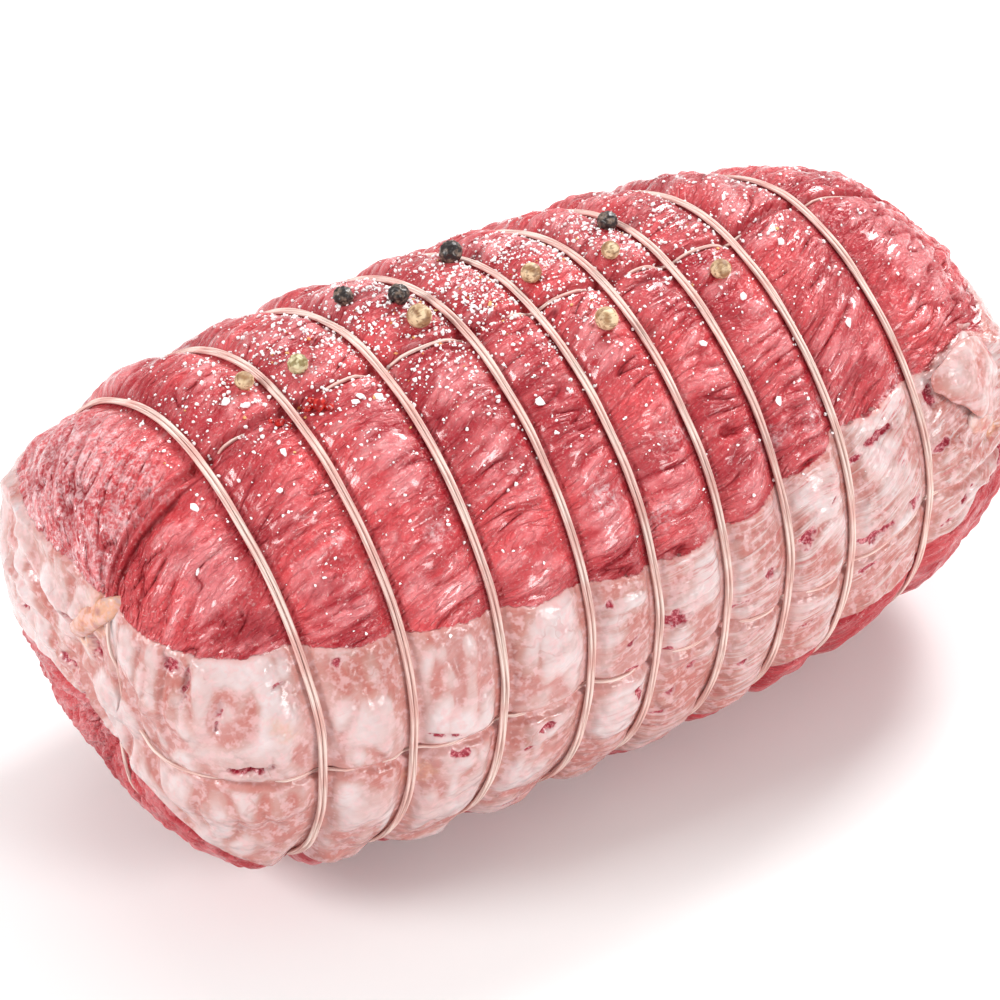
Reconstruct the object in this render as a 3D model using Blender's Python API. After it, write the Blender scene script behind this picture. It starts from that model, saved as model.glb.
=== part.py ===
"""A raw boned beef joint, rolled and tied with butcher's string.

The joint lies on its underside, with its length along X and its front towards -Y. A thick
layer of fat runs through it, between a large upper muscle and a smaller lower one. Nine loops
of doubled string press grooves round it, so the flesh bulges between them. One long string
passes lengthwise over the top and under the belly, beneath the loops, and another runs along
the front. Peppercorns, crushed red pepper and the largest flakes of salt lie on the top.

Lengths are in millimetres and angles in degrees, until metres() turns a place into metres.
"""
import math
import random

import bmesh
import bpy
import numpy as np
from mathutils import Matrix, Vector, noise

MM = 0.001

# The whole joint
HALF_WIDTH = 64.0
HALF_HEIGHT = 58.6
BELLY_HEIGHT = 59.0  # the height of the middle of the section above the table
CENTRE_X, CENTRE_Y = -0.41, -0.05  # the middle of the smooth form, seen from the box that holds all
TOP_POWER = 1.8  # the upper half of the section is a little flatter on its sides than an ellipse
BOTTOM_POWER = 2.44  # the lower half is squarer, as the joint sags on the table

# The two ends: the tip's place, how soon the end curves over, and how much its face slants
LEFT_END = {"tip": -117.3, "along": 3.1, "across": 5.0, "tip_y": -21.0, "slant": 0.104}
RIGHT_END = {"tip": 118.4, "along": 2.7, "across": 4.0, "tip_y": -5.0, "slant": -0.04}

# The string
LOOP_PLACES = (-92.6, -72.6, -51.0, -28.7, -10.7, 8.7, 26.5, 45.9, 72.4)
LOOP_WIDTH = 2.9  # two strands side by side
LOOP_THICKNESS = 1.5
STRAND_RADIUS = 0.7
GAP = 0.3  # between the string and the flesh under it
GROOVE_HALF_WIDTH = 1.8
GROOVE_DEPTH = 1.7
SETTLED = 0.7  # flesh this close to the table lies flat on it
BULGE = 0.8  # how far the flesh between two loops stands out from the joint's smooth form

# The channels of the long strings: the angle round the section, counted from the back (+Y)
# over the top, and the depth below the flesh on both sides
TOP_CHANNEL = {"angle": 101.5, "depth": 1.7}
FRONT_CHANNEL = {"angle": 187.5, "depth": 1.7}
UNDER_CHANNEL = {"angle": 255.0, "depth": 2.7}
CHANNELS = (TOP_CHANNEL, FRONT_CHANNEL, UNDER_CHANNEL)
CHANNEL_FLOOR = 1.1  # half the angle that a channel's flat floor takes up
CHANNEL_MOUTH = 3.2
SWING = 42.0  # how far the top string turns to the front on its way to the left tip
SWING_REACH = 60.0  # how many degrees from the string the flesh turns with it

# The fat's two edges along the front, as pairs of x and height
FAT_UPPER_EDGE = ((-118, 82), (-93, 81), (-51, 78), (-28, 76.5), (-8, 74.5), (9, 76), (27, 80),
                  (46, 85), (72, 87), (118, 86))
FAT_LOWER_EDGE = ((-118, 36), (-106, 27), (-93, 19), (-60, 15), (-8, 14), (10, 18), (28, 28),
                  (46, 35), (66, 41), (90, 53), (118, 54))
FAT_TOP_INSIDE = 89.0  # the height of the fat's upper face in the middle of the joint
FAT_BOTTOM_INSIDE = 50.5

# Small things on the top: the place along the joint, the angle round it and the size
PEPPERCORNS = ((-15.2, 79, 5.6), (22.2, 86.5, 4.9), (-45.5, 82, 4.5), (-36.3, 88.5, 4.7),
               (-36.9, 96, 5.6), (-6.4, 95, 4.8), (13.8, 97, 4.4), (0.0, 112.5, 5.6),
               (35.4, 109.5, 4.9), (-76.7, 93, 4.3), (-66.2, 95.5, 4.3))
RED_PEPPER = ((-67.6, 105.6, 4.2), (-76.4, 105.4, 2.8))
SALT_FLAKES = ((-59.3, 107.5, 2.6), (-56.3, 109.5, 2.4), (-79.5, 98, 2.2), (-82.0, 95, 2.4),
               (-79.4, 112.5, 2.0), (-24.0, 123, 2.2), (20.5, 123.5, 2.0), (32.0, 141, 2.4),
               (36.5, 117, 2.0), (-98.0, 114, 2.2), (58.6, 134.5, 2.4), (56.3, 110, 2.2))
SALT_SEED = 7

PIECES = "beef_joint"
RING_STEP = 12.5
BAY_STEPS = (0.12, 0.35, 0.65, 0.88)
LEFT_RINGS = (-96.5, -101.0, -105.0, -108.5, -111.5)
LEFT_CAP_SCALES = (0.6, 0.42, 0.22)
RIGHT_RINGS = (77.0, 83.0, 90.0, 97.0, 103.0, 108.0)
RIGHT_CAP_SCALES = (0.55, 0.38, 0.18)


def smooth(value):
    """Rise from 0 to 1 while value does, with no corner at either end."""
    value = min(max(value, 0.0), 1.0)
    return value * value * (3 - 2 * value)


def bump(value, centre, width):
    """A smooth hump of height 1."""
    return math.exp(-((value - centre) / width) ** 2)


def end_of(u):
    return LEFT_END if u < 0 else RIGHT_END


def u_at(x):
    """The place from -1, the left tip, to 1, the right tip, of the section at x."""
    end = end_of(x)
    return math.copysign(math.asin((x / end["tip"]) ** (end["along"] / 2)) * 2 / math.pi, x)


def u_at_scale(scale, side):
    """The place, left (-1) or right (1), where the section has shrunk to scale."""
    end = end_of(side)
    return side * math.acos(scale ** (end["across"] / 2)) * 2 / math.pi


def station(u):
    """Distance along the joint and the size of the section there."""
    end = end_of(u)
    turn = abs(u) * math.pi / 2
    return end["tip"] * math.sin(turn) ** (2 / end["along"]), math.cos(turn) ** (2 / end["across"])


def swing(u, scale, angle):
    """How far the flesh at this angle is turned to the front, near the left tip."""
    if u > 0:
        return 0.0
    return SWING * (1 - scale) ** 1.25 * bump(angle, TOP_CHANNEL["angle"], SWING_REACH)


def smooth_form(u, angle):
    """A point of the joint without its grooves and lumps."""
    end = end_of(u)
    x, scale = station(u)
    angle = angle + swing(u, scale, angle)
    turned = math.radians(angle - 7.0 * smooth((x - 40.0) / 35.0))
    power = TOP_POWER if math.sin(turned) > 0 else BOTTOM_POWER
    spread = abs(math.cos(turned)) ** power + abs(math.sin(turned)) ** power
    radius = scale * spread ** (-1 / power)
    across, up = radius * math.cos(turned), radius * math.sin(turned)
    lean = (2.1 - 2.1 * x / 80) * up + (1.4 * x / 80 - 0.8) * across
    slant = end["slant"] * end["tip"] * up * (x / end["tip"]) ** 4
    return Vector((CENTRE_X + x + lean + slant,
                   CENTRE_Y + HALF_WIDTH * across + end["tip_y"] * (1 - scale) ** 2,
                   BELLY_HEIGHT + HALF_HEIGHT * up))


def outward(u, angle):
    """The direction straight out of the joint."""
    u = min(max(u, -0.985), 0.985)
    along = smooth_form(u + 0.004, angle) - smooth_form(u - 0.004, angle)
    around = smooth_form(u, angle + 0.5) - smooth_form(u, angle - 0.5)
    return around.cross(along).normalized()


def pillow(x):
    """Height of the flesh over the smooth form at x, and how far x is from any loop (0 to 1)."""
    after = [place for place in LOOP_PLACES if place > x]
    if abs(min(LOOP_PLACES, key=lambda place: abs(place - x)) - x) <= GROOVE_HALF_WIDTH + 0.01:
        return -GROOVE_DEPTH, 0.0
    if 0 < len(after) < len(LOOP_PLACES):
        right = after[0] - GROOVE_HALF_WIDTH
        left = LOOP_PLACES[len(LOOP_PLACES) - len(after) - 1] + GROOVE_HALF_WIDTH
        fall = abs(2 * (x - left) / (right - left) - 1) ** 3.2
    else:
        nearest = LOOP_PLACES[0] if after else LOOP_PLACES[-1]
        fall = max(0.0, 1 - (abs(x - nearest) - GROOVE_HALF_WIDTH) / 9.0) ** 2.2
    return BULGE - (BULGE + GROOVE_DEPTH) * fall, 1 - fall


def channel(scale, angle):
    """Depth of the long strings' channels, which fade out on the joint's ends."""
    depth = 0.0
    for line in CHANNELS:
        away = abs(angle - line["angle"])
        if away < CHANNEL_MOUTH:
            slope = (CHANNEL_MOUTH - away) / (CHANNEL_MOUTH - CHANNEL_FLOOR)
            depth = line["depth"] * min(1.0, slope)
    return depth * smooth((scale - 0.45) / 0.25)


def lumps(x, angle, place):
    """The creases, folds and unevenness that show from a step away."""
    crease = -1.0 * bump(angle, TOP_CHANNEL["angle"], 5) * smooth((60 - x) / 20)
    pit = -3.5 * bump(angle, 102.5, 6) * bump(x, -103, 8)
    fold = 4.5 * bump(angle, 166, 17) * bump(x, 106, 9)
    heel = 2.5 * bump(angle, 228, 14) * bump(x, -100, 12)
    return crease + pit + fold + heel + 1.1 * noise.noise(place / 19.0)


def skin(u, angle):
    """A point of the flesh's surface, which is flat where it meets the table."""
    x, scale = station(u)
    place = smooth_form(u, angle)
    rise, freedom = pillow(x)
    away = min(abs(angle - line["angle"]) for line in CHANNELS)
    freedom *= smooth((away - CHANNEL_MOUTH + 1) / 6) if scale > 0.5 else 1.0
    lift = rise - channel(scale, angle) + freedom * lumps(x, angle, place)
    place += outward(u, angle) * lift
    if place.z < SETTLED:
        place.z = 0.0
    return place


def ring_angles():
    """Angles of the section's points: the channels' edges, and even steps between them."""
    angles = []
    for index, line in enumerate(CHANNELS):
        offsets = (-CHANNEL_MOUTH, -CHANNEL_FLOOR, CHANNEL_FLOOR, CHANNEL_MOUTH)
        angles += [line["angle"] + offset for offset in offsets]
        following = CHANNELS[(index + 1) % len(CHANNELS)]["angle"] - CHANNEL_MOUTH
        gap = (following - angles[-1]) % 360
        count = round(gap / RING_STEP)
        angles += [angles[-1] + gap * (step + 1) / count for step in range(count - 1)]
    return [angle % 360 for angle in angles]


def stations():
    """Places of the sections: both sides of every groove, the bays and the two ends."""
    places = [u_at(x) for x in LEFT_RINGS + RIGHT_RINGS]
    places += [u_at_scale(scale, -1) for scale in LEFT_CAP_SCALES]
    places += [u_at_scale(scale, 1) for scale in RIGHT_CAP_SCALES]
    for loop, following in zip(LOOP_PLACES, LOOP_PLACES[1:] + (None,)):
        places += [u_at(loop - GROOVE_HALF_WIDTH), u_at(loop + GROOVE_HALF_WIDTH)]
        if following is not None:
            length = following - loop - 2 * GROOVE_HALF_WIDTH
            places += [u_at(loop + GROOVE_HALF_WIDTH + step * length) for step in BAY_STEPS]
    return sorted(places)


ANGLES = ring_angles()
STATIONS = stations()


def metres(place):
    return Vector(place) * MM


def new_object(name, bm, collection):
    """Turn a bmesh into an object with outward faces."""
    bmesh.ops.recalc_face_normals(bm, faces=bm.faces)
    mesh = bpy.data.meshes.new(name)
    bm.to_mesh(mesh)
    bm.free()
    obj = bpy.data.objects.new(name, mesh)
    collection.objects.link(obj)
    return obj


def whole_joint(name, collection):
    """The whole joint's surface: a UV sphere whose poles are the joint's two tips."""
    bm = bmesh.new()
    rows = len(STATIONS) + 1
    bmesh.ops.create_uvsphere(bm, u_segments=len(ANGLES), v_segments=rows, radius=1)
    for vert in bm.verts:
        row = round(math.acos(max(-1.0, min(1.0, vert.co.z))) * rows / math.pi)
        column = round(math.atan2(vert.co.y, vert.co.x) * len(ANGLES) / math.tau) % len(ANGLES)
        if row in (0, rows):
            vert.co = metres(smooth_form(-1.0 if row == 0 else 1.0, 90.0))
        else:
            vert.co = metres(skin(STATIONS[row - 1], ANGLES[column]))
    return new_object(name, bm, collection)


def edge_height(edge, x):
    return float(np.interp(x, *zip(*edge)))


def fat_top(x, y):
    """Height of the fat's upper face, which rises from the front edge towards the middle."""
    front = edge_height(FAT_UPPER_EDGE, x)
    inside = FAT_TOP_INSIDE - 5 * smooth((y - 12) / 40)
    return front + (inside - front) * smooth((y + 45) / 42)


def fat_bottom(x, y):
    """Height of the fat's lower face, which is steep near the front."""
    front = edge_height(FAT_LOWER_EDGE, x)
    inside = FAT_BOTTOM_INSIDE - 4 * smooth((y - 20) / 40)
    return front + (inside - front) * smooth((y + 46) / 42)


def block(name, low, high, collection):
    """A closed block between the two surfaces low and high, which cuts a layer out."""
    bm = bmesh.new()
    bmesh.ops.create_grid(bm, x_segments=18, y_segments=11, size=1)
    floor = bm.verts[:]
    raised = bmesh.ops.extrude_face_region(bm, geom=bm.faces[:])["geom"]
    ceiling = [item for item in raised if isinstance(item, bmesh.types.BMVert)]
    for verts, height in ((floor, low), (ceiling, high)):
        for vert in verts:
            x, y = vert.co.x * 140, vert.co.y * 80
            vert.co = metres((x, y, height(x, y)))
    return new_object(name, bm, collection)


def apply_modifiers(obj):
    """Make what the modifiers show the object's own mesh, without loose scraps."""
    bpy.context.view_layer.update()
    shown = obj.evaluated_get(bpy.context.evaluated_depsgraph_get())
    mesh = bpy.data.meshes.new_from_object(shown)
    obj.modifiers.clear()
    obj.data = mesh
    bm = bmesh.new()
    bm.from_mesh(mesh)
    islands, seen = [], set()
    for start in bm.verts:
        if start in seen:
            continue
        island, edge = {start}, [start]
        while edge:
            for link in edge.pop().link_edges:
                for vert in link.verts:
                    if vert not in island:
                        island.add(vert)
                        edge.append(vert)
        seen |= island
        islands.append(island)
    scraps = set().union(*sorted(islands, key=len)[:-1]) if len(islands) > 1 else ()
    bmesh.ops.delete(bm, geom=list(scraps), context="VERTS")
    bmesh.ops.triangulate(bm, faces=bm.faces)
    bm.to_mesh(mesh)
    bm.free()


def boolean(obj, operation, operand):
    """Cut or join the object with another object, or with a collection."""
    modifier = obj.modifiers.new(operation.lower(), "BOOLEAN")
    modifier.operation = operation
    modifier.solver = "EXACT"
    if isinstance(operand, bpy.types.Collection):
        modifier.operand_type = "COLLECTION"
        modifier.collection = operand
    else:
        modifier.object = operand
    apply_modifiers(obj)


def layer(name, low, high, material, pieces, cutters):
    """One layer of the joint: what of the whole lies between two surfaces."""
    obj = whole_joint(name, pieces)
    cutter = block(name + "_cutter", low, high, cutters)
    boolean(obj, "INTERSECT", cutter)
    bpy.data.objects.remove(cutter)
    finish(obj, material)
    return obj


def material(name, colour, roughness):
    made = bpy.data.materials.new(name)
    made.use_nodes = True
    shader = made.node_tree.nodes["Principled BSDF"]
    shader.inputs["Base Color"].default_value = (*colour, 1.0)
    shader.inputs["Roughness"].default_value = roughness
    made.diffuse_color = (*colour, 1.0)
    return made


def finish(obj, look):
    obj.data.materials.clear()
    obj.data.materials.append(look)
    obj.data.shade_smooth()
    obj.data.set_sharp_from_angle(angle=math.radians(50))


def seat(x, angle, sink):
    """A place on the flesh for a small thing that sinks in by that much, and its upright."""
    u = u_at(x)
    angle -= swing(u, station(u)[1], angle)
    up = outward(u, angle)
    return skin(u, angle) - up * sink, up


def toppings(collection):
    """The peppercorns, the bits of red pepper and the largest salt flakes."""
    draw = random.Random(SALT_SEED)
    for number, (x, angle, size) in enumerate(PEPPERCORNS + RED_PEPPER):
        bm = bmesh.new()
        bmesh.ops.create_icosphere(bm, subdivisions=1, radius=size / 2 * MM)
        place, _ = seat(x, angle, -0.3 * size)
        bmesh.ops.translate(bm, verts=bm.verts, vec=metres(place))
        new_object(f"corn_{number}", bm, collection)
    for number, (x, angle, size) in enumerate(SALT_FLAKES):
        place, up = seat(x, angle, -0.2)
        bm = bmesh.new()
        bmesh.ops.create_cube(bm, size=size * MM)
        turn = up.to_track_quat("Z", "Y").to_matrix().to_4x4()
        spin = Matrix.Rotation(draw.uniform(0, math.pi), 4, "Z")
        flat = Matrix.Diagonal((1.0, draw.uniform(0.6, 1.0), 0.55, 1.0))
        bmesh.ops.transform(bm, matrix=Matrix.Translation(metres(place)) @ turn @ spin @ flat,
                            verts=bm.verts)
        new_object(f"flake_{number}", bm, collection)


def loop(number, x, look, pieces):
    """One loop of doubled string: a torus laid into its groove."""
    bpy.ops.mesh.primitive_torus_add(major_segments=len(ANGLES), minor_segments=4,
                                     major_radius=1.0, minor_radius=0.25)
    obj = bpy.context.object
    obj.name = obj.data.name = f"string_loop_{number}"
    for owner in list(obj.users_collection):
        owner.objects.unlink(obj)
    pieces.objects.link(obj)
    for vert in obj.data.vertices:
        column = round(math.atan2(vert.co.y, vert.co.x) * len(ANGLES) / math.tau) % len(ANGLES)
        turn = math.atan2(vert.co.z, vert.co.xy.length - 1.0) + math.radians(45)
        angle = ANGLES[column]
        sides = []
        for edge in (-GROOVE_HALF_WIDTH, GROOVE_HALF_WIDTH):
            u = u_at(x + edge)
            sides.append(smooth_form(u, angle) - outward(u, angle) * GROOVE_DEPTH)
        across = (sides[1] - sides[0]).normalized()
        up = outward(u_at(x), angle)
        height = GAP + LOOP_THICKNESS / 2 * (1 + math.copysign(1, math.sin(turn)))
        side = LOOP_WIDTH / 2 * math.copysign(1, math.cos(turn))
        vert.co = metres((sides[0] + sides[1]) / 2 + up * height + across * side)
    bm = bmesh.new()
    bm.from_mesh(obj.data)
    bmesh.ops.recalc_face_normals(bm, faces=bm.faces)
    bm.to_mesh(obj.data)
    bm.free()
    finish(obj, look)


def floor_of_channel(u, angle):
    """The string's middle over the channel's floor at u, or over the tip of an end."""
    if abs(u) == 1:
        return smooth_form(u, angle) + outward(u, angle) * (STRAND_RADIUS + GAP)
    floor = (skin(u, angle - CHANNEL_FLOOR) + skin(u, angle + CHANNEL_FLOOR)) / 2
    return floor + outward(u, angle) * (STRAND_RADIUS + GAP)


def strand(name, places, closed, look, pieces):
    """A single long string through places."""
    curve = bpy.data.curves.new(name, "CURVE")
    curve.dimensions = "3D"
    curve.bevel_depth = STRAND_RADIUS * MM
    curve.bevel_resolution = 0
    curve.use_fill_caps = True
    spline = curve.splines.new("POLY")
    spline.points.add(len(places) - 1)
    spline.use_cyclic_u = closed
    for point, place in zip(spline.points, places):
        point.co = (*metres(place), 1.0)
    obj = bpy.data.objects.new(name, curve)
    obj.data.materials.append(look)
    pieces.objects.link(obj)


def long_strings(look, pieces):
    """The string round the joint lengthwise, and the one along its front."""
    over = [floor_of_channel(u, TOP_CHANNEL["angle"]) for u in STATIONS]
    under = [floor_of_channel(u, UNDER_CHANNEL["angle"]) for u in reversed(STATIONS)]
    left_tip = floor_of_channel(-1.0, 90.0)
    right_tip = floor_of_channel(1.0, 90.0)
    strand("string_lengthwise", [left_tip] + over + [right_tip] + under, True, look, pieces)
    front = [floor_of_channel(u, FRONT_CHANNEL["angle"]) for u in STATIONS]
    clear = 2 * STRAND_RADIUS + GAP
    reach = [place for place in front
             if min((place - left_tip).length, (place - right_tip).length) > clear + 3]
    ends = [tip + (near - tip).normalized() * clear
            for tip, near in ((left_tip, reach[0]), (right_tip, reach[-1]))]
    strand("string_front", ends[:1] + reach + ends[1:], False, look, pieces)


def main():
    for obj in list(bpy.data.objects):
        bpy.data.objects.remove(obj)
    pieces = bpy.data.collections.new(PIECES)
    cutters = bpy.data.collections.new("cutters")
    loose = bpy.data.collections.new("toppings")
    for collection in (pieces, cutters, loose):
        bpy.context.scene.collection.children.link(collection)

    red = material("upper_meat", (0.50, 0.06, 0.07), 0.35)
    dark_red = material("lower_meat", (0.38, 0.04, 0.05), 0.35)
    white = material("fat", (0.83, 0.66, 0.60), 0.4)
    twine = material("string", (0.78, 0.62, 0.54), 0.8)

    half_gap = GAP / 2
    upper = layer("meat_upper", lambda x, y: fat_top(x, y) + half_gap, lambda x, y: 160.0,
                  red, pieces, cutters)
    layer("fat_layer", lambda x, y: fat_bottom(x, y) + half_gap,
          lambda x, y: fat_top(x, y) - half_gap, white, pieces, cutters)
    layer("meat_lower", lambda x, y: -30.0, lambda x, y: fat_bottom(x, y) - half_gap,
          dark_red, pieces, cutters)

    toppings(loose)
    boolean(upper, "UNION", loose)
    finish(upper, red)
    for obj in list(loose.objects):
        bpy.data.objects.remove(obj)
    for collection in (cutters, loose):
        bpy.data.collections.remove(collection)

    for number, x in enumerate(LOOP_PLACES, 1):
        loop(number, x, twine, pieces)
    long_strings(twine, pieces)


main()
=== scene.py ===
# %% [markdown]
# # A raw beef joint, rolled and tied
# A boned piece of beef is rolled up with its layer of fat and tied with butcher's string. The
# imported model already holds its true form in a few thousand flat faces. This lesson puts the
# looks on it: wet fibrous meat, mottled fat, doubled string, peppercorns and salt. Lengths are
# in millimetres and angles in degrees until a mesh is written, because that is how a joint is
# measured on the block.

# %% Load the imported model
import math
import random

import bmesh
import bpy
import numpy as np
from mathutils import Matrix, Vector, noise


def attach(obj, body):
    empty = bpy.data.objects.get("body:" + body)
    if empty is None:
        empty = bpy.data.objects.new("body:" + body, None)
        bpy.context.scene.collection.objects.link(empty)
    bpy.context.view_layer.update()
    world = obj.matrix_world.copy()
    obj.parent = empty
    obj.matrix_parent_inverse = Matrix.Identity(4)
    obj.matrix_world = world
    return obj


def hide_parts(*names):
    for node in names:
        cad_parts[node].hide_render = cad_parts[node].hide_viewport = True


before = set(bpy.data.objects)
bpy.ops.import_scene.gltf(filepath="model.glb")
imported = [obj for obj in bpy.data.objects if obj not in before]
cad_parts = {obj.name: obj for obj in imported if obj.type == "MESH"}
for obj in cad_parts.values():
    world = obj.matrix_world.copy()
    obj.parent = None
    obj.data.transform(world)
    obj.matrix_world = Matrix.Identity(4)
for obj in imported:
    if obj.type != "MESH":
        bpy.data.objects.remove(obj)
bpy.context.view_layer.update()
MM = 0.001
print("nodes in the frame:", len(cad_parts))

# %% [markdown]
# ## The camera
# The picture is taken from the front left and from above, with a rather long lens, so that the
# loops of string hardly converge. A camera looks along its own -Z, so the direction back from
# the joint gives its rotation.

# %% Camera
CAMERA_AZIMUTH = -34.3
CAMERA_HEIGHT_ANGLE = 35.1
CAMERA_DISTANCE = 659.5
CAMERA_LENS = 102.1
LOOKED_AT = (-7.7, 1.45, 55.4)


def direction(azimuth, elevation):
    """The way from the joint to something at these angles; azimuth 0 is the front."""
    a, e = math.radians(azimuth), math.radians(elevation)
    return Vector((math.sin(a) * math.cos(e), -math.cos(a) * math.cos(e), math.sin(e)))


camera = bpy.data.objects.new("camera", bpy.data.cameras.new("camera"))
bpy.context.scene.collection.objects.link(camera)
camera.data.lens = CAMERA_LENS
camera.data.sensor_width = 36.0
camera.data.clip_end = 20.0
back = direction(CAMERA_AZIMUTH, CAMERA_HEIGHT_ANGLE)
camera.location = (Vector(LOOKED_AT) + back * CAMERA_DISTANCE) * MM
camera.rotation_euler = back.to_track_quat("Z", "Y").to_euler()
bpy.context.scene.camera = camera
print("camera at", [round(v, 3) for v in camera.location])

# %% [markdown]
# ## Noise for many places at once
# Flesh has no straight lines. Its unevenness comes from gradient noise: each corner of a grid in
# space gets a random arrow, and between the corners the slopes of the arrows fade into each
# other. Blender's own noise takes one place at a time, and this one in numpy takes them all.

# %% Smooth noise
lattice = np.random.default_rng(2)
SHUFFLED = lattice.permutation(256)
ARROWS = lattice.normal(size=(256, 3))
ARROWS /= np.linalg.norm(ARROWS, axis=1, keepdims=True)


def waves(points, size, seed):
    """Smooth noise of about -1 to 1; size is one length or three, in the points' own units."""
    moved = points / np.asarray(size, float) + seed * 7.31
    cell = np.floor(moved).astype(int)
    part = moved - cell
    fade = part ** 3 * (part * (part * 6 - 15) + 10)
    total = np.zeros(len(points))
    for corner in np.ndindex(2, 2, 2):
        key = (cell + corner) & 255
        key = SHUFFLED[(SHUFFLED[(SHUFFLED[key[:, 0]] + key[:, 1]) & 255] + key[:, 2]) & 255]
        slope = ((part - corner) * ARROWS[key]).sum(axis=1)
        total += slope * np.where(corner, fade, 1 - fade).prod(axis=1)
    return total * 2.3


sample = waves(np.random.default_rng(1).random((5000, 3)) * 90, 7.0, 0)
print("noise lies between", round(float(sample.min()), 2), "and", round(float(sample.max()), 2))

# %% [markdown]
# ## The form of the joint
# The smooth form is a rounded section that shrinks towards both tips. A place on it has two
# numbers: u, from -1 at the left tip to 1 at the right tip, and the angle round the section,
# from the back over the top to the front. numpy works out many thousands of places at once, so
# every function here takes arrays.

# %% Sizes of the smooth form
HALF_WIDTH = 64.0
HALF_HEIGHT = 58.6
BELLY_HEIGHT = 59.0
CENTRE_X, CENTRE_Y = -0.41, -0.05
TOP_POWER = 1.8
BOTTOM_POWER = 2.44
LEFT_END = {"tip": -117.3, "along": 3.1, "across": 5.0, "tip_y": -21.0, "slant": 0.104}
RIGHT_END = {"tip": 118.4, "along": 2.7, "across": 4.0, "tip_y": -5.0, "slant": -0.04}
TOP_ANGLE, FRONT_ANGLE, UNDER_ANGLE = 101.5, 187.5, 255.0
SWING, SWING_REACH = 42.0, 60.0
TWIST, TWIST_START, TWIST_LENGTH = 7.0, 40.0, 35.0  # how the right end is turned


def ramp(value):
    """Rise from 0 to 1 while value does, with no corner at either end."""
    value = np.clip(value, 0.0, 1.0)
    return value * value * (3 - 2 * value)


def hump(value, centre, width):
    """A smooth hump of height 1."""
    return np.exp(-((value - centre) / width) ** 2)


def of_end(u, key):
    return np.where(u < 0, LEFT_END[key], RIGHT_END[key])


def station(u):
    """Distance along the joint and the size of the section there."""
    turn = np.abs(u) * math.pi / 2
    x = of_end(u, "tip") * np.sin(turn) ** (2 / of_end(u, "along"))
    return x, np.cos(turn) ** (2 / of_end(u, "across"))


def swing(u, scale, angle):
    """How far the flesh at this angle is turned to the front, near the left tip."""
    return np.where(u < 0, SWING * (1 - scale) ** 1.25 * hump(angle, TOP_ANGLE, SWING_REACH), 0)


def smooth_form(u, angle):
    """Points of the joint without its grooves and lumps."""
    x, scale = station(u)
    angle = angle + swing(u, scale, angle)
    turned = np.radians(angle - TWIST * ramp((x - TWIST_START) / TWIST_LENGTH))
    power = np.where(np.sin(turned) > 0, TOP_POWER, BOTTOM_POWER)
    spread = np.abs(np.cos(turned)) ** power + np.abs(np.sin(turned)) ** power
    radius = scale * spread ** (-1 / power)
    across, up = radius * np.cos(turned), radius * np.sin(turned)
    lean = (2.1 - 2.1 * x / 80) * up + (1.4 * x / 80 - 0.8) * across
    slant = of_end(u, "slant") * of_end(u, "tip") * up * (x / of_end(u, "tip")) ** 4
    return np.stack([CENTRE_X + x + lean + slant,
                     CENTRE_Y + HALF_WIDTH * across + of_end(u, "tip_y") * (1 - scale) ** 2,
                     BELLY_HEIGHT + HALF_HEIGHT * up], axis=-1)


def unit(vectors):
    return vectors / np.linalg.norm(vectors, axis=-1, keepdims=True)


def outward(u, angle):
    """The directions straight out of the joint."""
    u = np.clip(u, -0.985, 0.985)
    along = smooth_form(u + 0.004, angle) - smooth_form(u - 0.004, angle)
    around = smooth_form(u, angle + 0.5) - smooth_form(u, angle - 0.5)
    return unit(np.cross(around, along))


def u_at(x):
    """The place from -1 to 1 of the section at x."""
    x = np.asarray(x, float)
    root = np.clip(x / of_end(x, "tip"), 0, 1) ** (of_end(x, "along") / 2)
    return np.copysign(np.arcsin(root) * 2 / math.pi, x)


middle = smooth_form(np.zeros(4), np.array([0.0, 90.0, 180.0, 270.0]))
print("middle section, width and height:", round(float(middle[0, 1] - middle[2, 1]), 1),
      round(float(middle[1, 2] - middle[3, 2]), 1))

# %% [markdown]
# ## Where the string presses
# Nine loops of string squeeze the joint, so the flesh bulges between them like a row of
# pillows. Two long strings run in shallow channels: one over the top and back under the belly,
# the other along the front. Both kinds of groove are formulas of the same two numbers.

# %% Loops and channels
LOOP_PLACES = np.array((-92.6, -72.6, -51.0, -28.7, -10.7, 8.7, 26.5, 45.9, 72.4))
GROOVE_HALF_WIDTH = 1.8
GROOVE_DEPTH = 1.7
BULGE = 0.8
SETTLED = 0.7  # flesh lower than this is pressed flat on the table
BAY_SQUARENESS = 3.2  # how flat the top of a bay between two loops is
END_REACH, END_STEEPNESS = 9.0, 2.2  # how the flesh rises beyond the outermost loops
CHANNEL_DEPTHS = {TOP_ANGLE: 1.7, FRONT_ANGLE: 1.5, UNDER_ANGLE: 2.7}
CHANNEL_FLOOR, CHANNEL_MOUTH = 0.5, 1.9


def pillow(x):
    """Height of the flesh over the smooth form, and how free it is of the loops (0 to 1)."""
    nearest = np.abs(x[:, None] - LOOP_PLACES).min(axis=1)
    following = np.searchsorted(LOOP_PLACES, x)
    last = len(LOOP_PLACES) - 1
    left = LOOP_PLACES[np.clip(following - 1, 0, last)] + GROOVE_HALF_WIDTH
    right = LOOP_PLACES[np.clip(following, 0, last)] - GROOVE_HALF_WIDTH
    in_bay = (following > 0) & (following <= last)
    part = (x - left) / np.where(in_bay, right - left, 1.0)
    beyond = np.clip(1 - (nearest - GROOVE_HALF_WIDTH) / END_REACH, 0, 1)
    fall = np.where(in_bay, np.abs(2 * part - 1) ** BAY_SQUARENESS, beyond ** END_STEEPNESS)
    fall = np.where(nearest <= GROOVE_HALF_WIDTH, 1.0, np.clip(fall, 0, 1))
    return BULGE - (BULGE + GROOVE_DEPTH) * fall, 1 - fall


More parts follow.
